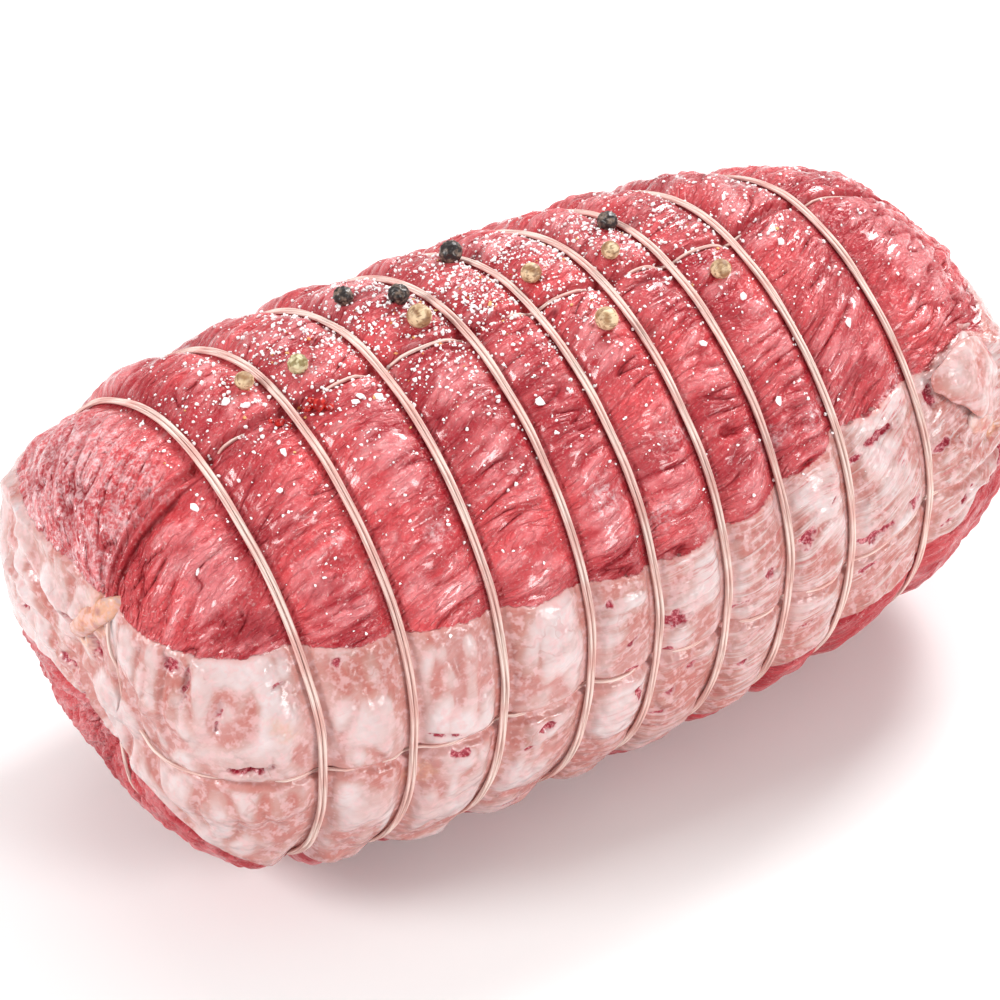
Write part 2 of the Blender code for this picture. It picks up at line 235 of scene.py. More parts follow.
def channel(scale, angle):
    """Depth of the long strings' channels, and how free of them the flesh is."""
    depth = np.zeros_like(angle)
    freedom = np.ones_like(angle)
    for line, deepest in CHANNEL_DEPTHS.items():
        away = np.abs(angle - line)
        slope = np.clip((CHANNEL_MOUTH - away) / (CHANNEL_MOUTH - CHANNEL_FLOOR), 0, 1)
        depth = np.maximum(depth, deepest * ramp(slope))
        freedom = np.minimum(freedom, ramp((away - 0.8) / 3.0))
    fade = ramp((scale - 0.45) / 0.25)
    return depth * fade, np.where(scale > 0.5, freedom, 1.0)


rise, _ = pillow(np.linspace(-110, 110, 400))
print("flesh lies between", round(float(rise.min()), 2), "and", round(float(rise.max()), 2))

# %% [markdown]
# ## Where the fat lies
# The fat is a thick sheet through the whole joint. Its upper and lower faces are heights that
# change from the front edge to the middle. The distance to the nearer face, positive inside the
# fat, later drives both the split into pieces and the crisp edge of the colours.

# %% The fat's two faces
FAT_UPPER_EDGE = ((-118, 82), (-93, 81), (-51, 78), (-28, 76.5), (-8, 74.5), (9, 76), (27, 80),
                  (46, 85), (72, 87), (118, 86))
FAT_LOWER_EDGE = ((-118, 36), (-106, 27), (-93, 19), (-60, 15), (-8, 14), (10, 18), (28, 28),
                  (46, 35), (66, 41), (90, 53), (118, 54))
FAT_TOP_INSIDE = 89.0
FAT_BOTTOM_INSIDE = 50.5


def fat_top(x, y):
    front = np.interp(x, *zip(*FAT_UPPER_EDGE))
    inside = FAT_TOP_INSIDE - 5 * ramp((y - 12) / 40)
    return front + (inside - front) * ramp((y + 45) / 42)


def fat_bottom(x, y):
    front = np.interp(x, *zip(*FAT_LOWER_EDGE))
    inside = FAT_BOTTOM_INSIDE - 4 * ramp((y - 20) / 40)
    return front + (inside - front) * ramp((y + 46) / 42)


def fat_distances(places):
    """How far each place is below the fat's upper face, and above its lower face."""
    x, y, z = places.T
    wild = 0.6 + 0.9 * ramp((x - 30) / 30)
    ragged = wild * (0.9 * waves(places, 9.0, 1) + 0.3 * waves(places, 3.2, 2))
    return fat_top(x, y) + ragged - z, z - fat_bottom(x, y) - 1.3 * ragged


print("fat at the front middle, from", float(fat_bottom(0.0, -60.0)), "to",
      float(fat_top(0.0, -60.0)), "mm above the table")

# %% [markdown]
# ## Folds, lobes and holes
# What makes a joint look real are its one-off features: red holes where a vessel or a patch of
# lean shows in the fat, which in the meat are painted shade of hollows, orange-brown stains, pale
# films of membrane on the meat mixed with patches of painted wet sheen, and rope-like folds in the
# fat. Each is one row of sizes with its place in millimetres, and a small function turns it into a
# height and, but for the folds, a colour mask.

# %% The one-off features
# Each mark: its place, its length and width, its tilt, its depth and how strong its colour is
HOLES = (
    ((-6, -64, 61), 5.4, 4.6, 0, 1.6, 1.0), ((0, -63, 45), 3.4, 1.8, 25, 0.9, 0.8),
    ((-8, -64, 53), 3.0, 1.6, 10, 0.7, 0.8), ((-5, -62, 40), 5.0, 2.0, 20, 1.1, 1.0),
    ((-7, -60, 33), 4.0, 1.4, 20, 0.8, 0.9), ((-18, -64, 60), 3.7, 1.1, 20, 0.7, 0.9),
    ((-18, -64, 53), 4.2, 1.4, 15, 0.8, 0.9), ((-15, -63, 44), 2.0, 5.6, 20, 1.2, 1.0),
    ((-40, -63, 47), 5.2, 2.4, 15, 1.2, 0.9), ((-43, -62, 42), 6.0, 0.9, 10, 0.9, 0.8),
    ((-61, -62, 49), 5.0, 2.4, -8, 1.0, 1.0), ((-66, -62, 56), 7.5, 1.0, -12, 0.9, 0.7),
    ((-55, -62, 63), 5.6, 3.4, 35, 0.8, 0.35), ((-85, -52, 77), 2.4, 2.6, 0, 0.9, 0.8),
    ((-104, -50, 57), 9.0, 2.4, 3, 2.4, 1.0), ((-97, -49, 75), 3.6, 1.2, 15, 1.1, 0.7),
    ((-112, -35, 78), 5.0, 4.6, 0, 1.0, 0.5), ((31, -63, 67), 3.4, 5.6, -15, 0.9, 0.85),
    ((20, -64, 63), 3.0, 5.2, -20, 0.7, 0.5), ((14, -62, 40), 4.0, 1.6, 25, 0.8, 0.9),
    ((34, -62, 42), 5.4, 1.2, 20, 0.7, 0.9), ((56, -55, 81), 11.0, 2.0, 12, 1.4, 1.0),
    ((48, -57, 78), 5.0, 1.4, 15, 0.9, 0.9), ((52, -62, 59), 9.0, 3.0, 15, 1.2, 0.9),
    ((51, -62, 50), 4.6, 2.4, 20, 0.9, 1.0), ((43, -63, 53), 2.2, 3.6, -10, 0.7, 0.7),
    ((76, -51, 82), 3.4, 5.8, 0, 2.6, 1.0), ((65, -60, 62), 4.6, 4.6, 30, 1.0, 0.6),
    ((76, -56, 71), 6.0, 1.6, 20, 1.3, 0.9), ((-23, -62, 71), 2.0, 1.9, 0, 0.9, 0.8),
    ((-40, -52, 19), 7.0, 1.4, 5, 0.9, 1.0), ((84, -56, 55), 5.0, 1.8, 35, 1.0, 0.9),
    ((78, -58, 50), 4.0, 1.6, 30, 0.9, 0.9), ((97, -48, 56), 9.0, 1.8, 30, 1.0, 0.9),
    ((-118, 19, 84), 3.6, 2.4, -40, 1.6, 1.0), ((-119, 4, 71), 9.0, 2.0, -28, 1.8, 0.9),
    ((-118, -7, 74), 7.0, 2.4, -35, 2.0, 0.9), ((-119, 12, 76), 6.0, 2.0, -35, 1.4, 0.8),
    ((-117, -14, 72), 3.6, 7.0, 0, 1.8, 0.7), ((-118, 2, 58), 8.0, 1.8, -30, 1.2, 0.8),
    ((-110, -38, 75), 1.6, 9.0, -8, 0.9, 0.5), ((-107, -44, 70), 1.8, 10.0, -10, 0.9, 0.5),
    ((-119, 20, 63), 7.0, 2.2, -30, 1.4, 0.9), ((-118, -6, 52), 8.0, 1.8, -32, 1.2, 0.8),
    ((-98, -42, 85), 13.0, 7.0, 12, 1.3, 0.9), ((17, -49, 93), 4.5, 3.4, 20, 1.0, 0.9),
    ((-84, -45, 90), 9.0, 4.0, 20, 0.8, 0.7), ((61, -60, 74), 3.0, 1.4, 30, 0.6, 0.6),
    ((24, -63, 52), 3.4, 1.0, 30, 0.5, 0.6), ((39, -61, 73), 4.4, 0.9, 28, 0.5, 0.6),
    ((12, -64, 57), 4.4, 1.0, 25, 0.5, 0.6),
)
STAINS = (
    ((-117, -17, 86), 6.0, 6.5, 0, 0.0, 0.5), ((-118, -16, 79), 6.5, 7.0, -20, 0.0, 0.7),
    ((-119, -10, 72), 8.0, 5.0, -35, 0.0, 0.8), ((-118, -12, 92), 7.0, 5.0, 0, 0.0, 0.5),
    ((95, -51, 65), 7.0, 3.4, 15, 1.4, 0.9), ((-28, -46, 96), 2.2, 4.4, -10, 0.3, 0.5),
    ((-97, -50, 66), 7.0, 4.0, -40, 0.3, 0.35), ((-70, -60, 45), 9.0, 5.0, 20, 0.2, 0.35),
)
# Pale films of membrane, and pale patches that are a painted wet sheen, in one list
FILMS = (
    ((-109, -12, 99), 10.0, 5.0, 12, -0.6, 0.9), ((-103, -13, 102), 9.0, 4.0, 10, -0.4, 0.9),
    ((-102, -4, 104), 8.0, 9.0, 0, 0.0, 0.8), ((-110, -4, 100), 7.0, 9.0, 0, 0.0, 0.7),
    ((-17, -51, 90), 9.0, 7.5, 20, 0.3, 1.0), ((64, -50, 87), 14.0, 4.0, 25, 0.2, 1.0),
    ((42, -50, 90), 11.0, 4.0, 25, 0.2, 0.8), ((5, -46, 95), 8.0, 6.0, 20, 0.1, 0.7),
    ((-56, -46, 94), 6.0, 5.0, 15, 0.2, 0.6), ((-77, -40, 96), 7.0, 4.0, 15, 0.1, 0.6),
    ((-5, -56, 84), 12.0, 6.0, 20, 0.1, 0.6), ((28, -52, 88), 11.0, 5.0, 25, 0.1, 0.6),
)

# Each fold: points along it, its half width and its height
FOLDS = (
    (((-114, 34, 82), (-118, 21, 87), (-118, 8, 90), (-118, 1, 91)), 2.2, 1.6),
    (((-119, 14, 84), (-120, 5, 79), (-119, -5, 77), (-118, -14, 80)), 2.4, 1.9),
    (((-119, 25, 69), (-119, 10, 68), (-118, -1, 64), (-118, -11, 64), (-117, -20, 58)), 2.0, 1.9),
    (((-118, 24, 76), (-119, 14, 73), (-119, 3, 68), (-118, -6, 70)), 1.9, 1.4),
    (((-118, -8, 63), (-117, -14, 58), (-115, -21, 48)), 2.2, 1.4),
    (((-119, 22, 60), (-119, 8, 59), (-118, -4, 54), (-116, -15, 48)), 2.4, 1.6),
    (((-114, -29, 80), (-116, -30, 66)), 2.6, 1.1), (((-107, -40, 79), (-111, -42, 66)), 2.8, 1.2),
    (((-98, -47, 80), (-105, -48, 64)), 3.4, 1.4), (((-92, -51, 80), (-98, -53, 60)), 2.4, 0.8),
    (((-115, -25, 47), (-111, -39, 45), (-102, -50, 45), (-92, -54, 46)), 4.2, 2.2),
    (((72, -57, 71), (79, -56, 70), (85, -55, 66), (82, -56, 61), (76, -58, 58)), 1.6, 1.3),
    (((88, -54, 60), (96, -49, 58), (104, -44, 56)), 3.4, 1.6),
    (((88, -43, 86), (95, -41, 83), (101, -40, 79)), 2.2, 1.9),
    (((84, -57, 64), (92, -54, 53), (96, -52, 48)), 2.0, 1.2),
)


def seen_from_outside(normal):
    """The directions to the right and up along the surface, for someone who faces it."""
    right = unit(np.cross((0.0, 0.0, 1.0), normal))
    return right, np.cross(normal, right)


def marks(rows, places, normals):
    """Height and strength of colour of all the marks in the rows at each place."""
    height, strength = np.zeros(len(places)), np.zeros(len(places))
    for centre, length, width, tilt, depth, colour_strength in rows:
        away = places - np.array(centre)
        near = np.flatnonzero((away ** 2).sum(axis=1) < (1.8 * max(length, width)) ** 2)
        if not len(near):
            continue
        closest = near[np.argmin((away[near] ** 2).sum(axis=1))]
        right, up = seen_from_outside(normals[closest])
        turn = math.radians(tilt)
        along = away[near] @ (right * math.cos(turn) + up * math.sin(turn)) / (length / 2)
        across = away[near] @ (up * math.cos(turn) - right * math.sin(turn)) / (width / 2)
        uneven = 0.5 * waves(places[near], 1.7, 3)
        inside = ramp(1.35 - np.hypot(along, across) + uneven)
        height[near] -= depth * inside
        strength[near] = np.maximum(strength[near], colour_strength * inside)
    return height, strength


def folds(places):
    """Height of the rope-like folds."""
    height = np.zeros(len(places))
    for points, half_width, rise in FOLDS:
        distance = np.full(len(places), 1e3)
        for start, end in zip(np.array(points, float), np.array(points[1:], float)):
            run = end - start
            part = np.clip((places - start) @ run / (run @ run), 0, 1)
            distance = np.minimum(distance,
                                  np.linalg.norm(places - start - part[:, None] * run, axis=1))
        height = np.maximum(height, rise * hump(distance, 0, half_width))
    return height


print("features:", len(HOLES), "holes,", len(STAINS), "stains,", len(FILMS), "films and",
      len(FOLDS), "folds")

# %% [markdown]
# ## The skin of the joint
# Meat is bundles of fibre that run along the joint, a little on the slant. Noise that is
# stretched along the fibres and folded upwards where it crosses zero gives rounded bundles with
# sharp valleys between them. Some of those valleys are open fissures. Fat has soft folds and,
# towards the right, fine streaks. Everything is added to the smooth form along its outward
# direction, and what the colours need is kept beside it.

# %% Relief of meat and fat
SLANT = 13.0  # degrees between the fibres and the joint's length
FIBRE_RADIUS = 61.0
PRESSED_RELIEF = 0.12  # share of the relief that is left under the string


def grain_places(x, scale, angle, base):
    """Places in a space that is stretched flat: first along the fibres, then across them."""
    along = x + np.sign(x) * (1 - scale) * 45.0
    turn = np.radians(angle) + along * math.tan(math.radians(SLANT)) / FIBRE_RADIUS
    turn += 0.035 * waves(base, 17.0, 21)
    radius = FIBRE_RADIUS * (0.35 + 0.65 * scale)
    return np.stack([along, radius * np.cos(turn), radius * np.sin(turn)], axis=-1)


def fissures(grain, x, scale, angle):
    """Signed noise that is zero along the valleys, and how open each valley is, 0 to 1."""
    split = waves(grain, (32, 5.2, 5.2), 5)
    opened = ramp(waves(grain, (12, 9, 9), 6) * 2.6)
    seam = (angle - TOP_ANGLE - 2.6) / 6.0
    at_seam = ramp((-84 - x) / 7) * ramp((scale - 0.4) / 0.15) * hump(seam, 0, 0.5)
    return split * (1 - at_seam) + seam * at_seam, np.maximum(opened, at_seam)


def meat_relief(grain, split, opened):
    blocks = 0.75 * waves(grain, (22, 14, 14), 9)
    bundles = 1.25 * np.minimum(np.abs(split), 0.5) - 0.35
    small = 0.6 * np.abs(waves(grain, (9, 3.0, 3.0), 10)) - 0.15
    fibres = 0.22 * waves(grain, (4.5, 1.6, 1.6), 11)
    return blocks + bundles + small + fibres - 0.8 * opened * hump(split, 0, 0.08)


def fat_relief(places, grain):
    """Rounded folds with sharp hollows between them, upright on the left and slanting right."""
    x = places[:, 0]
    left = ramp((-15 - x) / 35)
    swells = 0.9 * waves(places, 14.0, 12)
    upright = (1.5 * np.minimum(np.abs(waves(places, (8, 8, 22), 15)), 0.6) - 0.35) * left
    small = (0.6 * np.abs(waves(places, (5, 5, 8), 13)) - 0.15) * (0.4 + 0.6 * left)
    slanting = (0.7 * np.abs(waves(grain, (20, 3.4, 3.4), 14)) - 0.2) * (1 - left)
    return swells + upright + small + slanting


def lumps(x, angle):
    """The creases, folds and unevenness that the solids also have."""
    crease = -1.0 * hump(angle, TOP_ANGLE, 5) * ramp((60 - x) / 20)
    pit = -3.5 * hump(angle, 102.5, 6) * hump(x, -103, 8)
    fold = 4.5 * hump(angle, 166, 17) * hump(x, 106, 9)
    heel = 2.5 * hump(angle, 228, 14) * hump(x, -100, 12)
    return crease + pit + fold + heel


def flesh(u, angle):
    """Everything about the flesh's surface at these places, as a dictionary of arrays."""
    x, scale = station(u)
    base = smooth_form(u, angle)
    normals = outward(u, angle)
    rise, free_of_loops = pillow(x)
    depth, free_of_strings = channel(scale, angle)
    free = free_of_loops * free_of_strings
    uneven = np.array([noise.noise(place) for place in (base / 19.0).tolist()])
    rise = rise - depth + free * (lumps(x, angle) + 1.1 * uneven)

    rough = base + normals * rise[:, None]
    under_top, over_bottom = fat_distances(rough)
    inside_fat = np.minimum(under_top, over_bottom)
    fatness = ramp(inside_fat / 1.2 + 0.5)
    grain = grain_places(x, scale, angle, base)
    split, opened = fissures(grain, x, scale, angle)
    hole_height, red = marks(HOLES, base, normals)
    stain_height, stain = marks(STAINS, base, normals)
    film_height, film = marks(FILMS, base, normals)
    # Painted sheen: a pale patch on the upper part of the left end stands in for a wet highlight
    frost = 0.75 * ramp((-96 - base[:, 0]) / 9) * ramp((base[:, 2] - 80) / 8)
    film = np.maximum(film, frost * ramp((TOP_ANGLE - angle) / 4))
    bundled = meat_relief(grain, split, opened)
    relief = (1 - fatness) * (bundled + film_height)
    bold = ramp(inside_fat / 4.0)
    folded = fat_relief(base, grain)
    relief += fatness * bold * folded
    relief += fatness * (folds(base) * ramp(inside_fat / 2.0) + stain_height) + hole_height
    lower = over_bottom < under_top
    lip = 0.45 * hump(inside_fat, 1.5, 1.5) - 0.5 * hump(inside_fat, -1.0, 1.2)
    relief += np.where(lower, 2.0, 1.0) * lip
    rise = rise + (PRESSED_RELIEF + (1 - PRESSED_RELIEF) * free) * relief

    places = base + normals * rise[:, None]
    settled = places[:, 2] < SETTLED
    places[settled, 2] = 0.0
    # The value 1 - free tells how near the strings are, and the shader paints shade beside them with it
    return {"places": places, "normals": normals, "grain": grain, "fat": inside_fat,
            "under_top": under_top, "over_bottom": over_bottom, "red": red, "stain": stain,
            "film": film, "split": split, "opened": opened, "squeezed": 1 - free,
            "sunk": -(fatness * folded + (1 - fatness) * bundled) * free}


# %% [markdown]
# ## Laying the mesh over the form
# A flat grid is rolled up round the joint. Its last column is welded onto its first, and its
# first and last rows each onto one point, which are the joint's tips. The rows are spaced evenly
# along the surface. The columns lie closer together at the top and front, which are seen most.

# %% One fine surface for the whole joint
ROWS, COLUMNS = 420, 530


def mesh_from(bm, name):
    """Write the bmesh to a new mesh and let go of it."""
    mesh = bpy.data.meshes.new(name)
    bm.to_mesh(mesh)
    bm.free()
    return mesh


def join(bm, part):
    """Add all of the bmesh part to bm."""
    mesh = mesh_from(part, "part")
    bm.from_mesh(mesh)
    bpy.data.meshes.remove(mesh)


def even_rows():
    """Values of u for the rows, so that neighbours are equally far apart on the surface."""
    part = np.linspace(-1, 1, 40001)
    turn = np.abs(part) ** (of_end(part, "along") / 2)
    u = np.copysign(turn, part)
    x, scale = station(u)
    length = np.concatenate([[0], np.cumsum(np.hypot(np.diff(x), FIBRE_RADIUS * np.diff(scale)))])
    return np.interp(np.linspace(0, length[-1], ROWS + 1), length, u)


def column_angles():
    """Angles of the columns, denser where the joint is seen from above and in front."""
    angle = np.linspace(0, 360, 3601)
    density = 0.5 + 0.8 * ramp((angle - 50) / 20) * ramp((215 - angle) / 20)
    total = np.concatenate([[0], np.cumsum((density[1:] + density[:-1]) / 2)])
    return np.interp(np.linspace(0, total[-1], COLUMNS + 1)[:-1], total, angle)


bm = bmesh.new()
bmesh.ops.create_grid(bm, x_segments=COLUMNS, y_segments=ROWS, size=1)
bm.verts.ensure_lookup_table()
onto = {}
for row in range(ROWS + 1):
    first = row * (COLUMNS + 1)
    onto[bm.verts[first + COLUMNS]] = bm.verts[first]
    if row in (0, ROWS):
        for column in range(1, COLUMNS):
            onto[bm.verts[first + column]] = bm.verts[first]
bmesh.ops.weld_verts(bm, targetmap=onto)
bmesh.ops.triangulate(bm, faces=bm.faces)
whole = mesh_from(bm, "whole joint")

flat = np.empty(len(whole.vertices) * 3, np.float32)
whole.vertices.foreach_get("co", flat)
flat = (flat.reshape(-1, 3).astype(float) + 1) / 2
column = np.round(flat[:, 0] * COLUMNS).astype(int) % COLUMNS
row = np.round(flat[:, 1] * ROWS).astype(int)
skin = flesh(even_rows()[row], column_angles()[column])
print("points on the surface:", len(row))

# %% [markdown]
# ## Cutting the layers apart
# The three layers are three pieces. For a clean cut, every edge that crosses the fat's border
# has its nearer end moved onto the border. After that each triangle is wholly on one side.

# %% Move points onto the borders, and sort the triangles
edges = np.empty(len(whole.edges) * 2, int)
whole.edges.foreach_get("vertices", edges)
edges = edges.reshape(-1, 2)
corners = np.empty(len(whole.polygons) * 3, int)
whole.polygons.foreach_get("vertices", corners)
corners = corners.reshape(-1, 3)


def snap(border):
    """Move the nearer end of each edge that crosses the border onto it."""
    before, places = border.copy(), skin["places"].copy()
    crossing = before[edges[:, 0]] * before[edges[:, 1]] < 0
    for near, far in (edges[crossing].T, edges[crossing][:, ::-1].T):
        part = before[near] / (before[near] - before[far])
        moves = part <= 0.5
        near, far, part = near[moves], far[moves], part[moves]
        skin["places"][near] = places[near] + (places[far] - places[near]) * part[:, None]
        border[near] = 0.0


snap(skin["under_top"])
snap(skin["over_bottom"])
skin["fat"] = np.minimum(skin["under_top"], skin["over_bottom"])
is_upper = skin["under_top"][corners].sum(axis=1) < 0
is_lower = (skin["over_bottom"][corners].sum(axis=1) < 0) & ~is_upper
is_fat = ~is_upper & ~is_lower
print("triangles of upper meat, fat and lower meat:", is_upper.sum(), is_fat.sum(), is_lower.sum())

# %% Keep what the shader needs as attributes
whole.vertices.foreach_set("co", (skin["places"] * MM).astype(np.float32).ravel())
FLESH_VALUES = ("fat", "red", "stain", "film", "split", "opened", "squeezed", "sunk")
for name in FLESH_VALUES:
    layer = whole.attributes.new(name, "FLOAT", "POINT")
    layer.data.foreach_set("value", skin[name].astype(np.float32))
layer = whole.attributes.new("grain", "FLOAT_VECTOR", "POINT")
layer.data.foreach_set("vector", skin["grain"].astype(np.float32).ravel())


# %% [markdown]
# A layer that is cut from the skin is an open shell. Its rim is drawn inwards along the cut and
# filled, so that each layer is a closed body that could be lifted out. The rim is marked sharp,
# or the shading of the outside would lean over towards the hidden inside.

# %% Cut out one layer and close it
RIM_STEPS = (0.97, 0.9)  # size of the cut's rim after each step inwards


def link(name, mesh):
    """Make the mesh a piece of the joint."""
    piece = bpy.data.objects.new(name, mesh)
    bpy.context.scene.collection.objects.link(piece)
    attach(piece, "root")
    return piece


def cut_layer(name, kept, faces_of_cut):
    """The layer made of the kept triangles, closed along the given faces of the fat."""
    bm = bmesh.new()
    bm.from_mesh(whole)
    bm.faces.ensure_lookup_table()
    dropped = [bm.faces[index] for index in np.flatnonzero(~kept).tolist()]
    bmesh.ops.delete(bm, geom=dropped, context="FACES")
    for face in bm.faces:
        face.smooth = True
    rim = [edge for edge in bm.edges if edge.is_boundary]
    for edge in rim:
        edge.smooth = False
    for shrink in RIM_STEPS:
        grown = bmesh.ops.extrude_edge_only(bm, edges=rim)["geom"]
        rim = [item for item in grown if isinstance(item, bmesh.types.BMEdge)]
        for vert in [item for item in grown if isinstance(item, bmesh.types.BMVert)]:
            x, y = vert.co.x / MM * shrink, vert.co.y / MM * shrink
            heights = [float(face(x, y)) for face in faces_of_cut]
            height = min(heights, key=lambda value: abs(value - vert.co.z / MM))
            vert.co = Vector((x, y, height)) * MM
    lids = bmesh.ops.edgeloop_fill(bm, edges=rim)["faces"]
    lid_count = len(lids)
    bmesh.ops.triangulate(bm, faces=bm.faces)
    bmesh.ops.recalc_face_normals(bm, faces=bm.faces)
    open_edges = sum(not edge.is_manifold for edge in bm.edges)
    mesh = mesh_from(bm, name)
    print(name, len(mesh.polygons), "triangles,", lid_count, "lids,", open_edges, "open edges")
    return mesh


upper_meat = link("upper_meat", cut_layer("upper_meat", is_upper, (fat_top,)))
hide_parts("meat_upper")
fat = link("fat", cut_layer("fat", is_fat, (fat_top, fat_bottom)))
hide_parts("fat_layer")
lower_meat = link("lower_meat", cut_layer("lower_meat", is_lower, (fat_bottom,)))
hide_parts("meat_lower")
bpy.data.meshes.remove(whole)


# %% [markdown]
# ## Loose ends of fat
# A curled sinew sticks out of the left end, and a lobe of fat is folded over the right end with a
# few thin strands above it. Each is a ball that is drawn out along a line of places, flattened
# and given soft dents. They carry those attributes of the skin that fat needs and wear the same
# fat, with streaks that are four times as broad.

# %% Draw a ball out along a line
# Each: points along it, half its width, half its thickness, and how stained it is
LOOSE_ENDS = (
    (((-111, -26, 87), (-117, -22, 86), (-120.3, -16, 81), (-121.3, -10, 75), (-119, -3, 69)),
     2.5, 1.6, 0.7),
    (((75.5, -51, 85), (84, -51.5, 84), (93, -48, 80), (101, -43.5, 72), (107, -38, 62)),
     9.0, 3.0, 0.0),
    (((86, -53, 73), (91, -51, 70), (96, -49, 68)), 4.4, 2.6, 0.3),
    (((86, -46, 88), (92, -43, 87), (97, -40, 83), (102, -38, 78)), 2.2, 1.6, 0.0),
    (((92, -40, 89), (98, -37, 85), (104, -36, 80)), 1.7, 1.4, 0.0),
    (((104, -40, 74), (108, -36, 66), (108, -37, 57)), 4.0, 2.4, 0.0),
)


def loose_end(bm, points, half_width, half_thickness, stain):
    """Add one ball that follows the points, with the attributes of the skin."""
    points = np.array(points, float)
    part = bmesh.new()
    bmesh.ops.create_icosphere(part, subdivisions=6, radius=1)
    ball = np.array([vert.co[:] for vert in part.verts])
    run = np.linspace(0, 1, len(points))
    along = ball[:, 2] / 2 + 0.5
    curve = [np.polyfit(run, points[:, axis], min(3, len(points) - 1)) for axis in range(3)]
    centre = np.stack([np.polyval(fit, along) for fit in curve], axis=1)
    tangent = unit(np.stack([np.polyval(np.polyder(fit), along) for fit in curve], axis=1))
    out = unit(centre * (0.35, 1.0, 1.0) - (0.0, 0.0, 60.0))
    side = unit(np.cross(tangent, out))
    out = np.cross(side, tangent)
    blunt = (1 - ball[:, 2] ** 2 + 1e-9) ** -0.22
    bulge = blunt * (1 + 0.16 * waves(centre + 9 * ball, 10.0, 23))
    bulge *= 0.5 + 0.5 * ramp(2.5 * along)
    places = centre + side * (ball[:, 0] * bulge * half_width)[:, None]
    places += out * (ball[:, 1] * bulge * half_thickness)[:, None]
    dents = 0.9 * waves(places, 8.0, 24)
    places += out * dents[:, None]
    for vert, place in zip(part.verts, places.tolist()):
        vert.co = Vector(place) * MM
    for face in part.faces:
        face.smooth = True
    mesh = mesh_from(part, "loose end")
    for name, values in (("fat", 3 + 0 * along), ("stain", stain * ramp(1.4 - along * 1.2)),
                         ("red", 0 * along), ("sunk", -0.6 * dents)):
        layer = mesh.attributes.new(name, "FLOAT", "POINT")
        layer.data.foreach_set("value", values.astype(np.float32))
    layer = mesh.attributes.new("grain", "FLOAT_VECTOR", "POINT")
    layer.data.foreach_set("vector", (places / 4).astype(np.float32).ravel())
    bm.from_mesh(mesh)
    bpy.data.meshes.remove(mesh)


bm = bmesh.new()
for points, half_width, half_thickness, stain in LOOSE_ENDS:
    loose_end(bm, points, half_width, half_thickness, stain)
mesh = mesh_from(bm, "loose_fat")
loose_fat = link("loose_fat", mesh)
print("loose ends:", len(LOOSE_ENDS), "with", len(mesh.polygons), "triangles")

# %% [markdown]
# ## Butcher's string
# Each loop is string laid double, so two strands lie side by side in the groove. A strand is a
# grid rolled into a tube: one direction of the grid follows the path and the other goes round.
# Three shallow lobes that turn slowly as they go are the plies. UV coordinates come with the
# grid, and the string's material reads them.

# %% Roll a grid into a strand
STRAND_RADIUS = 0.47
PLY_LENGTH = 16.0  # the distance in which the plies turn once
PLIES = 3
RING_STEP = 1.0
SIDES = 10


def strand(bm, centres, ups, radius, closed):
    """Add a strand through the centres; ups say which way is up at each."""
    if closed:
        centres, ups = np.vstack([centres, centres[:1]]), np.vstack([ups, ups[:1]])
    steps = np.linalg.norm(np.diff(centres, axis=0), axis=1)
    run = np.concatenate([[0], np.cumsum(steps)])
    rings = max(8, int(run[-1] / RING_STEP))
    part = bmesh.new()
    uv = part.loops.layers.uv.new("UVMap")
    bmesh.ops.create_grid(part, x_segments=rings, y_segments=SIDES, size=1, calc_uvs=True)
    verts = part.verts[:]
    flat = np.array([vert.co[:] for vert in verts])
    at = (flat[:, 0] + 1) / 2 * run[-1]
    centre = np.stack([np.interp(at, run, centres[:, axis]) for axis in range(3)], axis=1)
    up = unit(np.stack([np.interp(at, run, ups[:, axis]) for axis in range(3)], axis=1))
    tangents = np.gradient(centres, run, axis=0)
    if closed:
        tangents[0] = tangents[-1] = centres[1] - centres[-2]
    tangent = unit(np.stack([np.interp(at, run, tangents[:, axis]) for axis in range(3)], axis=1))
    side = unit(np.cross(tangent, up))
    turn = (flat[:, 1] + 1) * math.pi
    turns = max(1, round(run[-1] / PLY_LENGTH))
    lobes = 1 + 0.07 * np.cos(PLIES * turn - math.tau * turns * at / run[-1])
    around = side * np.cos(turn)[:, None] + up * np.sin(turn)[:, None]
    places = centre + around * (radius * lobes)[:, None]
    for vert, place in zip(verts, places.tolist()):
        vert.co = Vector(place) * MM
    for face in part.faces:
        for corner in face.loops:
            corner[uv].uv = (corner[uv].uv.x * run[-1], corner[uv].uv.y)
    bmesh.ops.remove_doubles(part, verts=part.verts, dist=1e-7)
    bmesh.ops.holes_fill(part, edges=part.edges, sides=SIDES)
    bmesh.ops.recalc_face_normals(part, faces=part.faces)
    join(bm, part)
    return run[-1]


def finish_string(name, bm, node):
    mesh = mesh_from(bm, name)
    mesh.shade_smooth()
    piece = link(name, mesh)
    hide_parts(node)
    return piece


